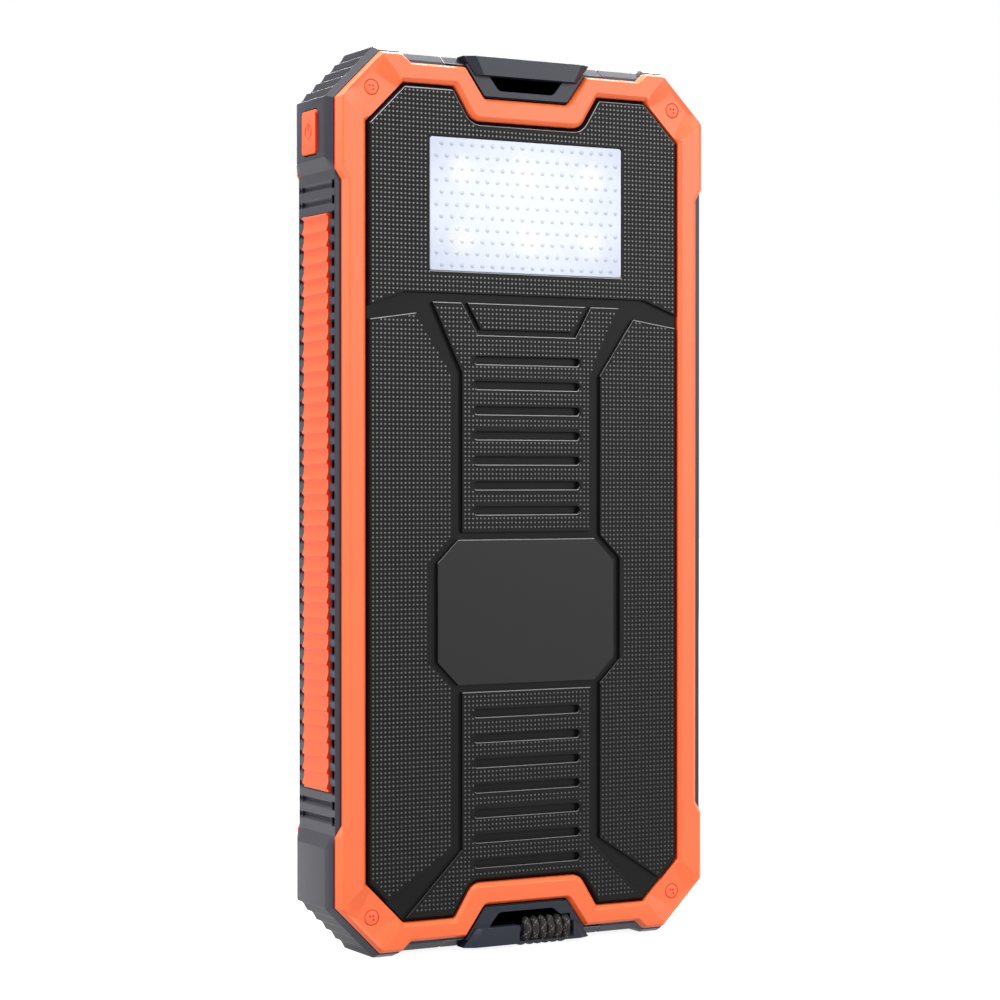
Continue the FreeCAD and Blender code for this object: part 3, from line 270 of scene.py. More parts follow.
class Finish:
    """What a piece is moulded, pressed or woven of: a material round one shader."""

    def __init__(self, name, roughness, metallic=0.0, specular=0.5):
        self.material = bpy.data.materials.new(name)
        self.material.use_nodes = True
        self.tree = self.material.node_tree
        self.shader = self.tree.nodes["Principled BSDF"]
        self.set("Roughness", roughness)
        self.set("Metallic", metallic)
        self.set("Specular IOR Level", specular)

    def set(self, name, value):
        connect(self.shader.inputs[name], value)

    def node(self, kind, settings=(), inputs=(), output=0):
        """Add a node: its settings first, then the values or links of its sockets."""
        node = self.tree.nodes.new(kind)
        for name, value in dict(settings).items():
            setattr(node, name, value)
        for name, value in dict(inputs).items():
            connect(node.inputs[name], value)
        socket = node.outputs[output]
        return Amount(socket) if socket.type == "VALUE" else socket

    def places(self):
        """Object coordinates: metres in the pack's own frame."""
        return self.node("ShaderNodeTexCoord", output="Object")

    def coordinates(self, vector):
        """The three coordinates of a vector, as numbers."""
        first = self.node("ShaderNodeSeparateXYZ", inputs={0: vector})
        return [Amount(socket) for socket in first.socket.node.outputs]

    def along_axes(self):
        """The three object coordinates as numbers, in millimetres."""
        return [place / mm for place in self.coordinates(self.places())]

    def noise(self, grain, detail=2.0, roughness=0.5, places=None):
        """Noise whose grains are about this size."""
        return self.node("ShaderNodeTexNoise", {"noise_dimensions": "3D"},
                         {"Vector": places or self.places(), "Scale": 1.0 / grain,
                          "Detail": detail, "Roughness": roughness})

    def blend(self, factor, one, other):
        """A colour between two, by a factor. A Mix node's colours are its sockets 6 and 7, and output 2."""
        return self.node("ShaderNodeMix", {"data_type": "RGBA"}, {0: factor, 6: one, 7: other}, 2)

    def bump(self, height, distance):
        """Raise the surface by the height, in units of the distance."""
        self.set("Normal", self.node("ShaderNodeBump", inputs={"Height": height, "Distance": distance}))


def plain(colour):
    """A colour with its alpha, as a socket wants it."""
    return (*colour, 1.0)


def braid_finish():
    """Black-brown yarn, every crossing a little rounder, with painted shade in the dips between crossings
    and two pale threads in each direction.
    """
    finish = Finish("braided_polyester", 0.72, specular=0.3)
    around, along, _ = finish.coordinates(finish.node("ShaderNodeUVMap", {"uv_map": "braid"}))
    one = (around + along) * braid_strands
    other = (around - along) * braid_strands
    crossing = (one * math.pi).sine() * (other * math.pi).sine()
    one_over = crossing > 0.0
    pale_one = (math.floor(one) % pale_every < 0.5) * one_over
    pale_other = (math.floor(other) % pale_every < 0.5) * (1.0 - one_over)
    pale = pale_one + pale_other
    rounded = abs(crossing) ** 0.5
    yarn = finish.noise(0.12 * mm, 3.0)
    # Darker in the dips between crossings, lighter on their tops: painted shade.
    dark = finish.blend(rounded * yarn, plain((0.003, 0.002, 0.002)), plain((0.035, 0.026, 0.025)))
    light = finish.blend(rounded * yarn, plain((0.02, 0.017, 0.017)), plain((0.34, 0.31, 0.32)))
    finish.set("Base Color", finish.blend(pale, dark, light))
    finish.bump(rounded * 0.7 + yarn * 0.5, 0.06 * mm)
    return finish.material


cord_path = points_along("cord_line", cord_points())
lanyard, lanyard_length = braided_cord("lanyard_braid", cord_path)
lanyard.data.materials.append(braid_finish())
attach(lanyard, "case")
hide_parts("lanyard_cord")


# Studio: a pale sweep under the pack, white all round, and five soft lamps: above, to the right and left,
# and two behind, which skim the steps of the corners and the slopes of the ends.
middle_of_pack = Vector((0.0, 0.0, 0.09))


def softbox(name, place, size, power):
    """A square lamp that looks at the middle of the pack."""
    data = bpy.data.lights.new(name, "AREA")
    data.size = size
    data.energy = power
    lamp = bpy.data.objects.new(name, data)
    bpy.context.scene.collection.objects.link(lamp)
    lamp.location = place
    lamp.rotation_euler = (middle_of_pack - Vector(place)).to_track_quat("-Z", "Y").to_euler()


def rays_that_see(tree):
    """1 for a ray that shows the studio itself: from the camera, off a gloss or through glass."""
    rays = tree.nodes.new("ShaderNodeLightPath")
    seen = Amount(rays.outputs["Is Camera Ray"]).largest(Amount(rays.outputs["Is Glossy Ray"]))
    return seen.largest(Amount(rays.outputs["Is Transmission Ray"]))


floor_size = 6.0
floor_glow = 0.9
world_light = 0.34
bpy.ops.mesh.primitive_plane_add(size=floor_size)
floor = bpy.context.active_object
floor.name = "floor"
sweep = Finish("studio_floor", 0.9, specular=0.2)
sweep.set("Base Color", plain((0.32, 0.32, 0.32)))
glow = sweep.node("ShaderNodeEmission", inputs={"Strength": rays_that_see(sweep.tree) * floor_glow})
lit = sweep.node("ShaderNodeAddShader", inputs={0: sweep.shader.outputs[0], 1: glow})
connect(sweep.tree.nodes["Material Output"].inputs["Surface"], lit)
floor.data.materials.append(sweep.material)

world = bpy.data.worlds.new("studio_white")
bpy.context.scene.world = world
world.use_nodes = True
surround = world.node_tree.nodes["Background"]
surround.inputs["Color"].default_value = plain((1, 1, 1))
connect(surround.inputs["Strength"], rays_that_see(world.node_tree) * (1 - world_light) + world_light)
softbox("top_lamp", (-0.15, -0.05, 1.0), 0.7, 15.0)
softbox("right_lamp", (0.7, -1.0, 0.45), 0.6, 7.5)
softbox("left_lamp", (-1.0, -0.35, 0.5), 0.6, 6.5)
softbox("skim_lamp", (0.5, 1.0, 0.55), 0.7, 20.0)
softbox("slope_lamp", (0.6, 0.65, 0.95), 0.5, 3.5)
bpy.context.scene.view_settings.view_transform = "Standard"


# Orange frames: moulded rims that clamp the panels and take the knocks, one on each side.
# Satin plastic with every edge eased, so that the edges carry a thin line of light.
sharp_angle = math.radians(25)
smooth_angle = math.radians(40)
flat_angle = math.radians(0.5)
merge_distance = 0.001 * mm
frame_rounding = 0.2 * mm
height_middle = 88.75 * mm
corner_line = 110.65 * mm
corner_line_room = 1.3 * mm


def only(piece):
    """Make this the one selected piece."""
    bpy.ops.object.select_all(action="DESELECT")
    piece.select_set(True)
    bpy.context.view_layer.objects.active = piece


def weigh_edges(piece, spared):
    """Mark the edges to round over: all that are sharp, but for the places that are spared."""
    shape = bmesh.new()
    shape.from_mesh(piece.data)
    weight = shape.edges.layers.float.new("bevel_weight_edge")
    for edge in shape.edges:
        sharp = edge.calc_face_angle(0.0) > sharp_angle
        middle = (edge.verts[0].co + edge.verts[1].co) / 2
        edge[weight] = float(sharp and not (spared and spared(middle)))
    shape.to_mesh(piece.data)
    shape.free()


def shaded(piece):
    """Keep a piece's flat faces flat under the light and its small roundings smooth."""
    only(piece)
    bpy.ops.object.shade_smooth_by_angle(angle=smooth_angle)
    level = piece.modifiers.new("level", "WEIGHTED_NORMAL")
    level.keep_sharp = True
    bpy.ops.object.modifier_apply(modifier=level.name)


def eased(piece, rounding, segments=2, spared=None):
    """Round over a piece's sharp edges, then shade it."""
    weigh_edges(piece, spared)
    only(piece)
    bevel = piece.modifiers.new("eased", "BEVEL")
    bevel.width = rounding
    bevel.segments = segments
    bevel.limit_method = "WEIGHT"
    bevel.use_clamp_overlap = False
    bevel.miter_outer = "MITER_ARC"
    bpy.ops.object.modifier_apply(modifier=bevel.name)
    shaded(piece)


def moulded(node, rounding, finish, cut_by=None, spared=None):
    """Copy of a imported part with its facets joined, its edges rounded over and its own finish."""
    part = frame["nodes"][node]
    copy = bpy.data.objects.new(node + "_moulded", part.data.copy())
    copy.data.materials.clear()
    copy.data.materials.append(finish.material)
    bpy.context.scene.collection.objects.link(copy)
    only(copy)
    bpy.ops.object.mode_set(mode="EDIT")
    bpy.ops.mesh.select_all(action="SELECT")
    bpy.ops.mesh.remove_doubles(threshold=merge_distance)
    bpy.ops.mesh.customdata_custom_splitnormals_clear()
    bpy.ops.mesh.dissolve_limited(angle_limit=flat_angle)
    bpy.ops.object.mode_set(mode="OBJECT")
    eased(copy, rounding, spared=spared)
    if cut_by:
        engrave(copy, cut_by)
    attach(copy, part["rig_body"])
    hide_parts(node)
    return copy


def satin_plastic(name, colour, roughness, grain=0.3 * mm, relief=0.008 * mm, drift=0.06, specular=0.5):
    """Moulded plastic: a colour that drifts a little, and the fine grain of an eroded mould."""
    finish = Finish(name, roughness, specular=specular)
    cloud = finish.noise(9.0 * mm, 3.0)
    fine = finish.noise(grain, 2.0)
    low = plain([c * (1 - drift) for c in colour])
    high = plain([min(1.0, c * (1 + drift)) for c in colour])
    finish.set("Base Color", finish.blend(cloud, low, high))
    finish.set("Roughness", roughness - 0.08 + fine * 0.16)
    finish.bump(fine, relief)
    return finish


def at_inner_corner(place):
    """Is this place on the slanting inner edge of a corner, which stays crisp?"""
    return abs(abs(place.x) + abs(place.z - height_middle) - corner_line) < corner_line_room


def painted_shade_on_walls(piece, finish, axis, least):
    """Paint shade on the walls that look along one axis: give them a second, darker finish."""
    piece.data.materials.append(finish.material)
    for face in piece.data.polygons:
        if abs(face.normal[axis]) > least:
            face.material_index = 1


# The frames' walls that face sideways get a darker red copy of the orange: painted shade.
frame_orange = satin_plastic("satin_orange", (0.93, 0.145, 0.034), 0.42)
frame_painted_shade = satin_plastic("painted_shade_orange", (0.72, 0.035, 0.008), 0.5)
for side in ("front", "back"):
    rim = moulded(side + "_frame", frame_rounding, frame_orange, spared=at_inner_corner)
    painted_shade_on_walls(rim, frame_painted_shade, axis=0, least=0.9)


# Plugs over the four screws of each frame: snap-in discs of orange plastic, 2.9 mm across.
# The mould left three small dents in each.
plug_radius = 1.45 * mm
plug_length = 1.1 * mm
plug_sides = 48
plug_rounding = 0.16 * mm
lying_down = (math.pi / 2, 0.0, 0.0)
dent_radius = 0.2 * mm
dent_depth = 0.25 * mm
dent_sides = 12
dents = ((-0.4 * mm, 0.3 * mm), (0.3 * mm, 0.3 * mm), (0.35 * mm, -0.4 * mm))


def engrave(piece, cutter):
    """Cut one closed shape out of a piece."""
    only(piece)
    cut = piece.modifiers.new("engraved", "BOOLEAN")
    cut.object = cutter
    cut.solver = "EXACT"
    bpy.ops.object.modifier_apply(modifier=cut.name)
    bpy.data.objects.remove(cutter)


def joined(pieces):
    """Several pieces made one."""
    bpy.ops.object.select_all(action="DESELECT")
    for piece in pieces:
        piece.select_set(True)
    bpy.context.view_layer.objects.active = pieces[0]
    bpy.ops.object.join()
    return bpy.context.view_layer.objects.active


def placed(piece):
    """Put a piece's place, turn and size into its mesh."""
    only(piece)
    bpy.ops.object.transform_apply(location=True, rotation=True, scale=True)


def round_bar(radius, length, place, sides, turn):
    """Cylinder added at its size and place."""
    bpy.ops.object.select_all(action="DESELECT")
    bpy.ops.mesh.primitive_cylinder_add(vertices=sides, radius=radius, depth=length,
                                        location=place, rotation=turn)
    bar = bpy.context.active_object
    placed(bar)
    return bar


def screw_plug(facing):
    """Plug at the origin, with its dents in the face that looks along -Y or +Y."""
    plug = round_bar(plug_radius, plug_length, (0, 0, 0), plug_sides, lying_down)
    eased(plug, plug_rounding, segments=3)
    face = facing * plug_length / 2
    cutters = [round_bar(dent_radius, 2 * dent_depth, (x, face, z), dent_sides, lying_down)
               for x, z in dents]
    engrave(plug, joined(cutters))
    return plug


def bunch(name, pattern, places):
    """One piece made of copies of a pattern at many places. The pattern itself goes."""
    corners = [vertex.co.copy() for vertex in pattern.data.vertices]
    sides = [tuple(face.vertices) for face in pattern.data.polygons]
    count = len(corners)
    bpy.data.objects.remove(pattern)
    mesh = bpy.data.meshes.new(name)
    mesh.from_pydata([corner + place for place in places for corner in corners], [],
                     [tuple(i + k * count for i in side) for k in range(len(places)) for side in sides])
    piece = bpy.data.objects.new(name, mesh)
    bpy.context.scene.collection.objects.link(piece)
    return piece


plug_orange = satin_plastic("plug_orange", (0.86, 0.13, 0.04), 0.45)
for side, facing in (("front", -1), ("back", 1)):
    low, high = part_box(side + "_screw_plugs")
    middle = (low + high) / 2
    spots = [Vector((x, middle.y, z)) for x in (low.x + plug_radius, high.x - plug_radius)
             for z in (low.z + plug_radius, high.z - plug_radius)]
    plugs = bunch(side + "_plugs_moulded", screw_plug(facing), spots)
    only(plugs)
    bpy.ops.object.shade_smooth_by_angle(angle=smooth_angle)
    plugs.data.materials.append(plug_orange.material)
    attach(plugs, "case")
    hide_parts(side + "_screw_plugs")


# Band round the sides and ends: one slate-grey moulding with corner blocks, stepped chamfers and ribs.
# Towards the back the grooves between the ribs run on shallow, beside the seam.
band_rounding = 0.12 * mm
rib_pitch = 3.0 * mm
rib_count = 42
rib_face = 41.78 * mm
rib_end_depth = 1.2 * mm
rib_end_front = 6.75 * mm
rib_end_back = 8.05 * mm
rib_end_groove = 0.45 * mm
rib_end_half_groove = 0.7 * mm
rib_end_trim = 0.1 * mm
close_to = 0.01 * mm


def strip_length(low, high, heights, shape):
    """One repeat of a strip along Z, open at both ends: a block cut at the heights, then shaped."""
    bpy.ops.object.select_all(action="DESELECT")
    bpy.ops.mesh.primitive_cube_add(size=1.0, location=(low + high) / 2, scale=high - low)
    piece = bpy.context.active_object
    placed(piece)
    bpy.ops.object.mode_set(mode="EDIT")
    bpy.ops.mesh.select_mode(type="FACE")
    bpy.ops.mesh.select_all(action="DESELECT")
    bpy.ops.object.mode_set(mode="OBJECT")
    for face in piece.data.polygons:
        face.select = abs(face.normal.z) > 0.5
    bpy.ops.object.mode_set(mode="EDIT")
    bpy.ops.mesh.delete(type="FACE")
    for height in heights:
        bpy.ops.mesh.select_all(action="SELECT")
        bpy.ops.mesh.bisect(plane_co=(0, 0, height), plane_no=(0, 0, 1))
    bpy.ops.object.mode_set(mode="OBJECT")
    for vertex in piece.data.vertices:
        if abs(vertex.co.x) > abs(low.x + high.x) / 2:
            vertex.co.x -= math.copysign(shape(vertex.co.z), vertex.co.x)
    return piece


def strip(name, pattern, places, low, high):
    """Repeats of one length joined into a strip and cut off square at both ends."""
    piece = bunch(name, pattern, places)
    only(piece)
    bpy.ops.object.mode_set(mode="EDIT")
    bpy.ops.mesh.select_all(action="SELECT")
    bpy.ops.mesh.remove_doubles(threshold=merge_distance)
    for height, up in ((low, -1), (high, 1)):
        bpy.ops.mesh.select_all(action="SELECT")
        bpy.ops.mesh.bisect(plane_co=(0, 0, height), plane_no=(0, 0, up), clear_outer=True, use_fill=True)
    bpy.ops.mesh.select_all(action="SELECT")
    bpy.ops.mesh.normals_make_consistent(inside=False)
    bpy.ops.object.mode_set(mode="OBJECT")
    return piece


def groove_end(z):
    """Depth of a groove's shallow end at a height, measured from the middle of the groove."""
    return rib_end_groove if abs(z) < close_to else 0.0


def groove_ends(side):
    """Back ends of the grooves down one side."""
    inner, outer = sorted((side * (rib_face - rib_end_depth), side * rib_face))
    low = Vector((inner, rib_end_front, -rib_pitch / 2))
    high = Vector((outer, rib_end_back, rib_pitch / 2))
    pattern = strip_length(low, high, (-rib_end_half_groove, 0.0, rib_end_half_groove), groove_end)
    spots = [Vector((0, 0, height_middle + (k - (rib_count - 1) / 2) * rib_pitch))
             for k in range(rib_count)]
    reach = rib_pitch * rib_count / 2 - rib_end_trim
    return strip("groove_ends", pattern, spots, height_middle - reach, height_middle + reach)


case_slate = satin_plastic("satin_slate", (0.029, 0.028, 0.04), 0.38, specular=0.28)
band = moulded("mid_case", band_rounding, case_slate)
ends = [groove_ends(side) for side in (-1, 1)]
for piece in ends:
    shaded(piece)
    piece.data.materials.append(case_slate.material)
joined([band] + ends)


# Grips: strips of soft orange rubber with saw-shaped ribs, let into the sides and glued.
# Each rib slopes out as it goes down and then steps back, so that a wet hand can't slide.
grip_face = 42.4 * mm
grip_back = 40.6 * mm
grip_half_width = 5.6 * mm
grip_low = 32.75 * mm
grip_high = 144.75 * mm
grip_step = 0.42 * mm
grip_riser = 0.08 * mm
grip_land = 0.35 * mm
grip_slope = 1.7 * mm
grip_first_step = 30.1 * mm
grip_rib_count = 39
grip_rounding = 0.07 * mm


def grip_depth(z):
    """How far the strip's face lies in at a height above a step."""
    proud = grip_riser - close_to < z < grip_land + close_to
    return 0.0 if proud else grip_step


# The grips' walls that face forwards and backwards get a darker red copy of the orange: painted shade.
grip_orange = satin_plastic("grip_orange", (0.9, 0.12, 0.03), 0.5)
grip_painted_shade = satin_plastic("grip_painted_shade", (0.72, 0.02, 0.004), 0.6)
for name, side in (("left", -1), ("right", 1)):
    inner, outer = sorted((side * grip_back, side * grip_face))
    low = Vector((inner, -grip_half_width, 0))
    high = Vector((outer, grip_half_width, rib_pitch))
    pattern = strip_length(low, high, (grip_riser, grip_land, grip_slope), grip_depth)
    spots = [Vector((0, 0, grip_first_step + k * rib_pitch)) for k in range(grip_rib_count)]
    grip = strip(name + "_grip_ribbed", pattern, spots, grip_low, grip_high)
    eased(grip, grip_rounding)
    grip.data.materials.append(grip_orange.material)
    painted_shade_on_walls(grip, grip_painted_shade, axis=1, least=0.7)
    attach(grip, "case")
    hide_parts(name + "_grip")


# Panels: near-black plates with raised pads, moulded in one and clamped by the frames.
# The pads' tops carry a square grid of small raised dots; the octagon and the channels are smooth.
# The upper edges of the pads and the lower edges of the slots carry a painted highlight, brighter towards
# the top; the dots' tips carry a painted glint, brighter towards the upper left.
panel_rounding = 0.15 * mm
dot_pitch = 0.88 * mm
dot_radius = 0.22 * mm
dot_top_radius = 0.14 * mm
dot_height = 0.1 * mm
dot_sunk = 0.02 * mm
dot_sides = 6
dot_edge_room = 0.12 * mm
dot_start = (-24.65 * mm, 169.17 * mm)
pad_face = 9.7 * mm
same_height = 0.02 * mm
octagon_middle = 67.1 * mm
octagon_half = (20.2 * mm, 14.35 * mm)
octagon_cut = 4.6 * mm
octagon_inset = 0.97
highlight_edge_slope = 0.3
highlight_edge_level = 9.5 * mm
recess_level = 9.45 * mm
dot_glint_reach = 190.0
dot_glint_least = 0.05
edge_highlight_reach = 160.0


def in_octagon(x, z):
    """Is this place on the smooth octagon?"""
    x, z = abs(x), abs(z - octagon_middle)
    return x < octagon_half[0] and z < octagon_half[1] and x + z < sum(octagon_half) - octagon_cut


def is_octagon(panel, face):
    """Does the whole of this face lie within the octagon's outline?"""
    for i in face.vertices:
        corner = panel.data.vertices[i].co
        x = corner.x * octagon_inset
        z = octagon_middle + (corner.z - octagon_middle) * octagon_inset
        if not in_octagon(x, z):
            return False
    return True


def dot_places(panel, facing):
    """Grid places whose whole dot lies on the top of a pad."""
    surface = BVHTree.FromPolygons([vertex.co for vertex in panel.data.vertices],
                                   [face.vertices for face in panel.data.polygons])
    low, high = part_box("front_panel")
    room = dot_radius + dot_edge_room
    probes = ((0, 0), (room, 0), (-room, 0), (0, room), (0, -room))
    columns = range(math.ceil((low.x - dot_start[0]) / dot_pitch),
                    math.floor((high.x - dot_start[0]) / dot_pitch))
    rows = range(math.ceil((low.z - dot_start[1]) / dot_pitch),
                 math.floor((high.z - dot_start[1]) / dot_pitch))
    places = []
    for column in columns:
        for row in rows:
            x = dot_start[0] + column * dot_pitch
            z = dot_start[1] + row * dot_pitch
            if in_octagon(x, z):
                continue
            for dx, dz in probes:
                outside = Vector((x + dx, 2 * facing * pad_face, z + dz))
                hit = surface.ray_cast(outside, Vector((0, -facing, 0)))[0]
                if hit is None or abs(hit.y - facing * pad_face) > same_height:
                    break
            else:
                places.append(Vector((x, facing * pad_face, z)))
    return places


def panel_dot(facing):
    """One raised dot: a low cone with a flat top and no underside, its foot just inside the pad."""
    bpy.ops.object.select_all(action="DESELECT")
    bpy.ops.mesh.primitive_cone_add(vertices=dot_sides, radius1=dot_radius, radius2=dot_top_radius,
                                    depth=dot_height, location=(0, facing * (dot_height / 2 - dot_sunk), 0),
                                    rotation=(-facing * math.pi / 2, 0, 0))
    dot = bpy.context.active_object
    placed(dot)
    return dot


panel_black = satin_plastic("satin_black", (0.004, 0.004, 0.0042), 0.45, specular=0.12)
# Faces below the pads' level get a darker black: painted shade in the channels and slots.
recess_painted_shade = satin_plastic("painted_shade_recess_black", (0.0035, 0.0035, 0.0036), 0.45, specular=0.12)
octagon_black = satin_plastic("smooth_black", (0.006, 0.006, 0.0063), 0.4, specular=0.22)
# The dots' tips are painted pale grey, paler towards the upper left: a painted glint.
dot_tips_painted_glint = satin_plastic("painted_glint_dot_tips", (0.2, 0.2, 0.2), 0.3)
across, _, up = dot_tips_painted_glint.along_axes()
painted_light_falloff = ((up - across) / dot_glint_reach + dot_glint_least).clamped()
dot_painted_glint_grey = dot_tips_painted_glint.blend(painted_light_falloff, plain((0.022, 0.022, 0.022)), plain((0.17, 0.17, 0.17)))
dot_tips_painted_glint.set("Base Color", dot_painted_glint_grey)
# Upward-facing upper edges of the pads and slots are painted pale, paler towards the top: a painted
# highlight.
pad_edge_painted_highlight = satin_plastic("painted_highlight_pad_edges", (0.3, 0.3, 0.31), 0.3, drift=0.3)
painted_light_falloff = (pad_edge_painted_highlight.along_axes()[2] / edge_highlight_reach).clamped()
edge_painted_highlight_grey = pad_edge_painted_highlight.blend(painted_light_falloff, plain((0.02, 0.02, 0.02)), plain((0.36, 0.36, 0.37)))
pad_edge_painted_highlight.set("Base Color", edge_painted_highlight_grey)
for side, facing in (("front", -1), ("back", 1)):
    panel = moulded(side + "_panel", panel_rounding, panel_black)
    for finish in (pad_edge_painted_highlight, recess_painted_shade, octagon_black):
        panel.data.materials.append(finish.material)
    # Faces below the pads' level take the painted shade, upward-facing upper edges the painted highlight,
    # the octagon its smooth finish.
    for face in panel.data.polygons:
        if abs(face.center.y) < recess_level:
            face.material_index = 2
        elif face.normal.z > highlight_edge_slope and abs(face.center.y) > highlight_edge_level:
            face.material_index = 1
        elif is_octagon(panel, face):
            face.material_index = 3
    dots = bunch(side + "_panel_dots", panel_dot(facing), dot_places(panel, facing))
    dots.data.materials.append(dot_tips_painted_glint.material)
    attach(dots, "case")


# Lamp: a milky window over six warm chips on a white board, in a white box that spreads their light.
# The window's face has eleven rows of shallow lens bumps, each row half a step from the next.
bump_rows = 11
bump_pitch = 2.28 * mm
bump_row_pitch = 2.38 * mm
bump_first_row = 159.25 * mm
bump_half_row = 9
bump_radius = 0.45 * mm
bump_height = 0.09 * mm
lens_face = 9.7 * mm
lens_rounding = 0.2 * mm
lens_middle_up = 147.4
lens_half_width = 23.5
lens_half_height = 14.7
chips_across = (-14.67, 0.0, 14.67)
chips_up = (140.8, 153.96)
chip_glow_area = 14.0


def lens_bump():
    """One shallow lens: the top of a flattened ball."""
    bpy.ops.object.select_all(action="DESELECT")
    bpy.ops.mesh.primitive_uv_sphere_add(segments=16, ring_count=8, radius=bump_radius)
    ball = bpy.context.active_object
    ball.rotation_euler = (math.pi / 2, 0, 0)
    ball.scale = (1, 1, bump_height / bump_radius)
    placed(ball)
    bpy.ops.object.mode_set(mode="EDIT")
    bpy.ops.mesh.select_all(action="SELECT")
    bpy.ops.mesh.bisect(plane_co=(0, close_to, 0), plane_no=(0, 1, 0), clear_outer=True)
    bpy.ops.object.mode_set(mode="OBJECT")
    return ball


def lens_finish(name, colour, shade):
    """Milky plastic, warmer over each chip, with painted shade towards the corners of the window."""
    finish = Finish(name, 0.28)
    across, _, up = finish.along_axes()
    warmth = 0.0
    for x in chips_across:
        for z in chips_up:
            far = (across - x) * (across - x) + (up - z) * (up - z)
            warmth = warmth + (1.0 - far / chip_glow_area).largest(0.0)
    cloud = finish.noise(6.0 * mm, 2.0)
    sideways = across / lens_half_width
    upwards = (up - lens_middle_up) / lens_half_height
    rim = sideways * sideways + upwards * upwards
    # Darker towards the corners of the window: painted shade.
    milk = finish.blend((rim * 0.55 + cloud * 0.1).clamped(), plain(colour), plain(shade))
    finish.set("Base Color", finish.blend(warmth * 0.5, milk, plain((0.77, 0.76, 0.64))))
    finish.set("Roughness", 0.24 + cloud * 0.1)
    finish.bump(finish.noise(0.4 * mm, 2.0), 0.004 * mm)
    return finish


lens_milk = lens_finish("milky_lens", (0.69, 0.73, 0.79), (0.43, 0.48, 0.61))
moulded("led_lens", lens_rounding, lens_milk)
spots = []
for row in range(bump_rows):
    wide = row % 2
    for k in range(2 * bump_half_row + wide):
        x = (k - bump_half_row + 0.5 - wide / 2) * bump_pitch
        spots.append(Vector((x, -lens_face, bump_first_row - row * bump_row_pitch)))
bumps = bunch("lens_bumps", lens_bump(), spots)
only(bumps)
bpy.ops.object.shade_smooth()
# The bumps get a darker copy of the lens finish: painted shade.
bump_painted_shade = lens_finish("painted_shade_lens_bumps", (0.6, 0.64, 0.71), (0.36, 0.41, 0.53))
bumps.data.materials.append(bump_painted_shade.material)
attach(bumps, "case")


# Lanyard loops: blue-grey bars across the end recesses, each with a slot behind it for a cord.
# The upward-facing tops of the two bosses that hold a bar are painted pale: a painted highlight.
loop_grey = satin_plastic("satin_blue_grey", (0.013, 0.016, 0.028), 0.36, specular=0.25)
boss_painted_highlight = satin_plastic("painted_highlight_boss_tops", (0.4, 0.42, 0.46), 0.25)
loop_rounding = 0.1 * mm
loop_bar_half_width = 15.3 * mm
boss_top_slope = 0.3
for end, outwards in (("top", 1), ("bottom", -1)):
    loop = moulded(end + "_lanyard_loop", loop_rounding, loop_grey)
    loop.data.materials.append(boss_painted_highlight.material)
    # Faces of the bosses that look up out of the end take the painted highlight.
    for face in loop.data.polygons:
        if abs(face.center.x) > loop_bar_half_width and face.normal.z * outwards > boss_top_slope:
            face.material_index = 1


# Power button: an orange key in the upper left corner block, with a ring and a stroke engraved in it.
# It slides towards the switch on the main board.
button_rounding = 0.25 * mm
mark_middle = 160.85 * mm
mark_radius = 1.35 * mm
mark_line = 0.2 * mm
mark_line_sides = 8
mark_gap = 0.5 * mm
stroke_low = 161.1 * mm
stroke_high = 162.7 * mm


def power_mark(face_x):
    """Cutter for the mark: a ring open at the top and a stroke through the opening."""
    bpy.ops.object.select_all(action="DESELECT")
    bpy.ops.mesh.primitive_torus_add(major_segments=48, minor_segments=mark_line_sides,
                                     major_radius=mark_radius, minor_radius=mark_line,
                                     location=(face_x, 0, mark_middle), rotation=(0, math.pi / 2, 0))
    ring = bpy.context.active_object
    placed(ring)
    for face in ring.data.polygons:
        face.select = abs(face.center.y) < mark_gap and face.center.z > mark_middle
    bpy.ops.object.mode_set(mode="EDIT")
    bpy.ops.mesh.select_mode(type="FACE")
    bpy.ops.mesh.delete(type="FACE")
    bpy.ops.mesh.select_all(action="SELECT")
    bpy.ops.mesh.fill_holes(sides=0)
    bpy.ops.object.mode_set(mode="OBJECT")
    stroke_middle = (face_x, 0, (stroke_low + stroke_high) / 2)
    stroke = round_bar(mark_line, stroke_high - stroke_low, stroke_middle, mark_line_sides, (0, 0, 0))
    return joined([ring, stroke])


button_orange = satin_plastic("button_orange", (0.9, 0.125, 0.032), 0.45)
key = moulded("power_button", button_rounding, button_orange,
              cut_by=power_mark(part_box("power_button")[0].x))
# The key's walls that face forwards and backwards get the same painted shade.
painted_shade_on_walls(key, grip_painted_shade, axis=1, least=0.7)


# Port cover: the flap in the upper end, of the band's plastic, on a steel pin.
# Its rubber seal lies round the sockets, glued to the band.
cover_rounding = 0.15 * mm
brush_stretch = 14.0
tarnish_shade = 0.88


def finished(node, finish):
    """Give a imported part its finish."""
    for slot in frame["nodes"][node].material_slots:
        slot.material = finish.material


def drawn_metal(name, colour, roughness, along):
    """Metal, a little tarnished, with the fine lines of drawing or brushing along one axis."""
    finish = Finish(name, roughness, metallic=1.0)
    squeeze = [1.0, 1.0, 1.0]
    squeeze[along] = 1.0 / brush_stretch
    stretched = finish.node("ShaderNodeMapping", inputs={"Vector": finish.places(), "Scale": squeeze})
    lines = finish.noise(0.25 * mm, 3.0, places=stretched)
    tarnish = finish.noise(3.0 * mm, 2.0)
    dull = plain([c * tarnish_shade for c in colour])
    finish.set("Base Color", finish.blend(tarnish, dull, plain(colour)))
    finish.set("Roughness", roughness - 0.08 + lines * 0.2)
    finish.bump(lines, 0.004 * mm)
    return finish


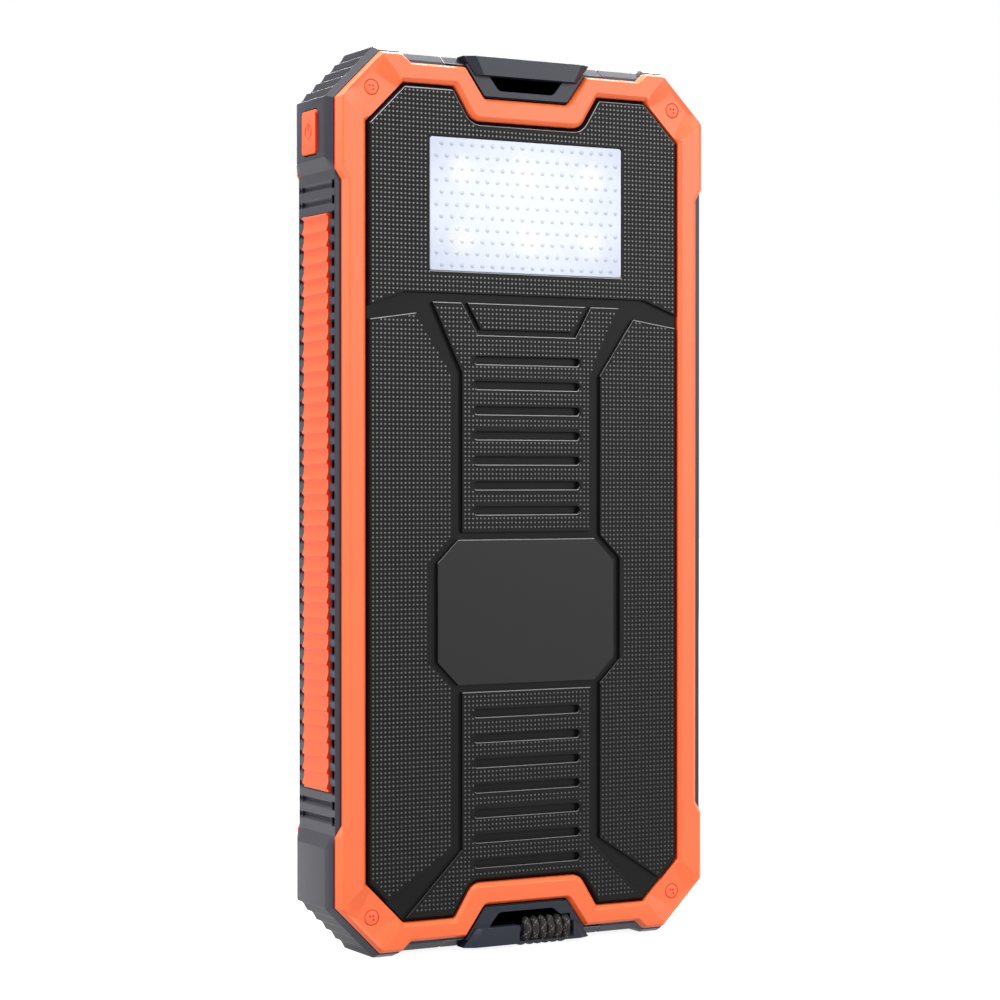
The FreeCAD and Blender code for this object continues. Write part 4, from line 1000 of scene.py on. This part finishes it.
def soft_rubber(name, colour):
    """Matte rubber with a dry bloom on it."""
    finish = Finish(name, 0.75, specular=0.35)
    bloom = finish.noise(1.6 * mm, 4.0)
    pores = finish.noise(0.12 * mm, 2.0)
    finish.set("Base Color", finish.blend(bloom, plain(colour), plain([c * 1.7 + 0.004 for c in colour])))
    finish.set("Roughness", 0.68 + pores * 0.16)
    finish.bump(pores, 0.012 * mm)
    return finish


moulded("port_cover", cover_rounding, case_slate)
finished("hinge_pin", drawn_metal("hinge_steel", (0.52, 0.52, 0.53), 0.3, 0))
black_rubber = soft_rubber("black_rubber", (0.012, 0.012, 0.0125))
finished("port_seal", black_rubber)


# Sockets under the cover: two of nickel-plated steel round a black tongue, for charging other things, and
# the blue jump socket with two gold-plated contacts. Steel mouths have their middle and half size here.
shell_wall = 0.36
socket_mouths = {"usb_a_port": ((-11.9, 2.7), (6.55, 2.9)), "usb_c_port": ((0.35, 1.45), (4.5, 1.65))}


def socket_steel(node):
    """Nickel-plated shell, black inside, where the tongue is."""
    middle, half_size = socket_mouths[node]
    finish = drawn_metal(node + "_nickel", (0.66, 0.64, 0.6), 0.28, 2)
    across, through, _ = finish.along_axes()
    between_ends = abs(across - middle[0]) < half_size[0] - shell_wall
    between_sides = abs(through - middle[1]) < half_size[1] - shell_wall
    inside = between_ends * between_sides
    plated = finish.shader.inputs["Base Color"].links[0].from_socket
    finish.set("Base Color", finish.blend(inside, plated, plain((0.015, 0.015, 0.016))))
    finish.set("Metallic", 1.0 - inside)
    return finish


for node in socket_mouths:
    finished(node, socket_steel(node))
finished("jump_socket", satin_plastic("socket_blue", (0.012, 0.045, 0.24), 0.4))
finished("socket_pins", drawn_metal("gold_plate", (0.88, 0.64, 0.26), 0.25, 2))


# Box behind the lens, of gloss white plastic, which throws the light forwards. The lamp board lies in it:
# white lacquer over aluminium, with six chips under yellow phosphor.
board_white = satin_plastic("lamp_board_white", (0.78, 0.79, 0.78), 0.35, grain=0.15 * mm, drift=0.04)
finished("light_box", satin_plastic("reflector_white", (0.84, 0.85, 0.86), 0.25, drift=0.02))
finished("led_board", board_white)
finished("led_chips", satin_plastic("phosphor", (0.9, 0.68, 0.12), 0.3, grain=0.08 * mm, drift=0.14))


# Circuit boards: green lacquer over copper runs, on glass cloth. The main board carries the sockets, the
# switch and the other parts, and two screws hold it. The small board above the cells guards them.
lane_pitch = 0.8
lane_half_width = 0.12
lane_column = 4.0
lane_shift = 0.37
plane_level = 0.52
weave_rate = 9.0


def circuit_green(name):
    """Green lacquer, paler over the copper runs and the earth planes."""
    finish = Finish(name, 0.32)
    across, _, up = finish.along_axes()
    patch = finish.noise(3.5 * mm, 1.0)
    planes = patch > plane_level
    shifted = up + math.floor(across / lane_column) * lane_shift
    lanes = (abs(shifted % lane_pitch - lane_pitch / 2) < lane_half_width) * (1.0 - planes)
    weave = (across * weave_rate).sine() * (up * weave_rate).sine()
    lacquer = finish.blend(weave * 0.5 + 0.5, plain((0.008, 0.085, 0.03)), plain((0.012, 0.105, 0.038)))
    copper = (lanes + planes * 0.7).clamped()
    finish.set("Base Color", finish.blend(copper, lacquer, plain((0.03, 0.21, 0.075))))
    finish.set("Roughness", 0.26 + patch * 0.14)
    finish.bump(lanes + planes + weave * 0.1, 0.02 * mm)
    return finish


board_green = circuit_green("circuit_lacquer")
chip_black = satin_plastic("chip_resin_black", (0.018, 0.018, 0.019), 0.5,
                           grain=0.1 * mm, relief=0.012 * mm, drift=0.2)
screw_metal = drawn_metal("screw_plate", (0.5, 0.5, 0.52), 0.32, 1)
finished("main_board", board_green)
finished("protection_board", board_green)
finished("board_parts", chip_black)
finished("board_screws", screw_metal)
finished("power_switch", chip_black)
finished("switch_plunger", satin_plastic("plunger_grey", (0.42, 0.42, 0.43), 0.4))


# Battery: three pouch cells in aluminium laminate, nickel strips from cell to cell, foam before and
# behind them, and two silicone leads up to the jump socket.
lead_low, lead_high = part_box("battery_leads")
lead_middle = (lead_low.x + lead_high.x) / 2 / mm


def laminate(name):
    """Aluminium laminate: bright, slightly wrinkled and cloudy."""
    finish = Finish(name, 0.35, metallic=0.9)
    wrinkle = finish.noise(7.0 * mm, 5.0, 0.6)
    haze = finish.noise(1.2 * mm, 3.0)
    finish.set("Base Color", finish.blend(haze, plain((0.5, 0.51, 0.53)), plain((0.68, 0.69, 0.7))))
    finish.set("Roughness", 0.26 + haze * 0.2)
    finish.bump(wrinkle, 0.35 * mm)
    return finish


def open_foam(name):
    """Black foam with open pores."""
    finish = Finish(name, 0.9, specular=0.2)
    pores = finish.node("ShaderNodeTexVoronoi", {"feature": "F1"},
                        {"Vector": finish.places(), "Scale": 1.0 / (0.5 * mm)}, "Distance")
    shade = finish.blend(pores, plain((0.008, 0.008, 0.008)), plain((0.05, 0.05, 0.052)))
    finish.set("Base Color", shade)
    finish.bump(pores, 0.12 * mm)
    return finish


def lead_silicone(name):
    """Silicone insulation: one lead red, the other black."""
    finish = soft_rubber(name, (0.014, 0.014, 0.014))
    across = finish.along_axes()[0]
    black = finish.shader.inputs["Base Color"].links[0].from_socket
    finish.set("Base Color", finish.blend(across > lead_middle, black, plain((0.42, 0.012, 0.01))))
    return finish


finished("battery_cells", laminate("cell_laminate"))
finished("cell_tabs", drawn_metal("nickel_strip", (0.62, 0.59, 0.53), 0.3, 0))
finished("battery_pads", open_foam("foam_black"))
finished("battery_leads", lead_silicone("lead_silicone"))


# Charge display: a bar of clear acrylic with four pins, moulded in one, that come through the back panel.
# Lights on the main board shine into the bar, and the ends of the pins glow.
def clear_acrylic(name):
    """Clear acrylic with a faint bluish tint and moulded-in flow lines."""
    finish = Finish(name, 0.1)
    finish.set("Transmission Weight", 0.6)
    finish.set("IOR", 1.49)
    flow = finish.noise(2.0 * mm, 2.0)
    finish.set("Base Color", finish.blend(flow, plain((0.78, 0.86, 0.95)), plain((0.88, 0.93, 0.98))))
    finish.set("Roughness", 0.06 + flow * 0.1)
    return finish


finished("charge_lights", clear_acrylic("light_pipe_acrylic"))


# Gaskets: black rubber cords between each panel and the band, moulded as closed rings.
# The four plated steel screws of each side squeeze them and hold the frame, panel and band together.
for side in ("front", "back"):
    finished(side + "_gasket", black_rubber)
    finished(side + "_screws", screw_metal)
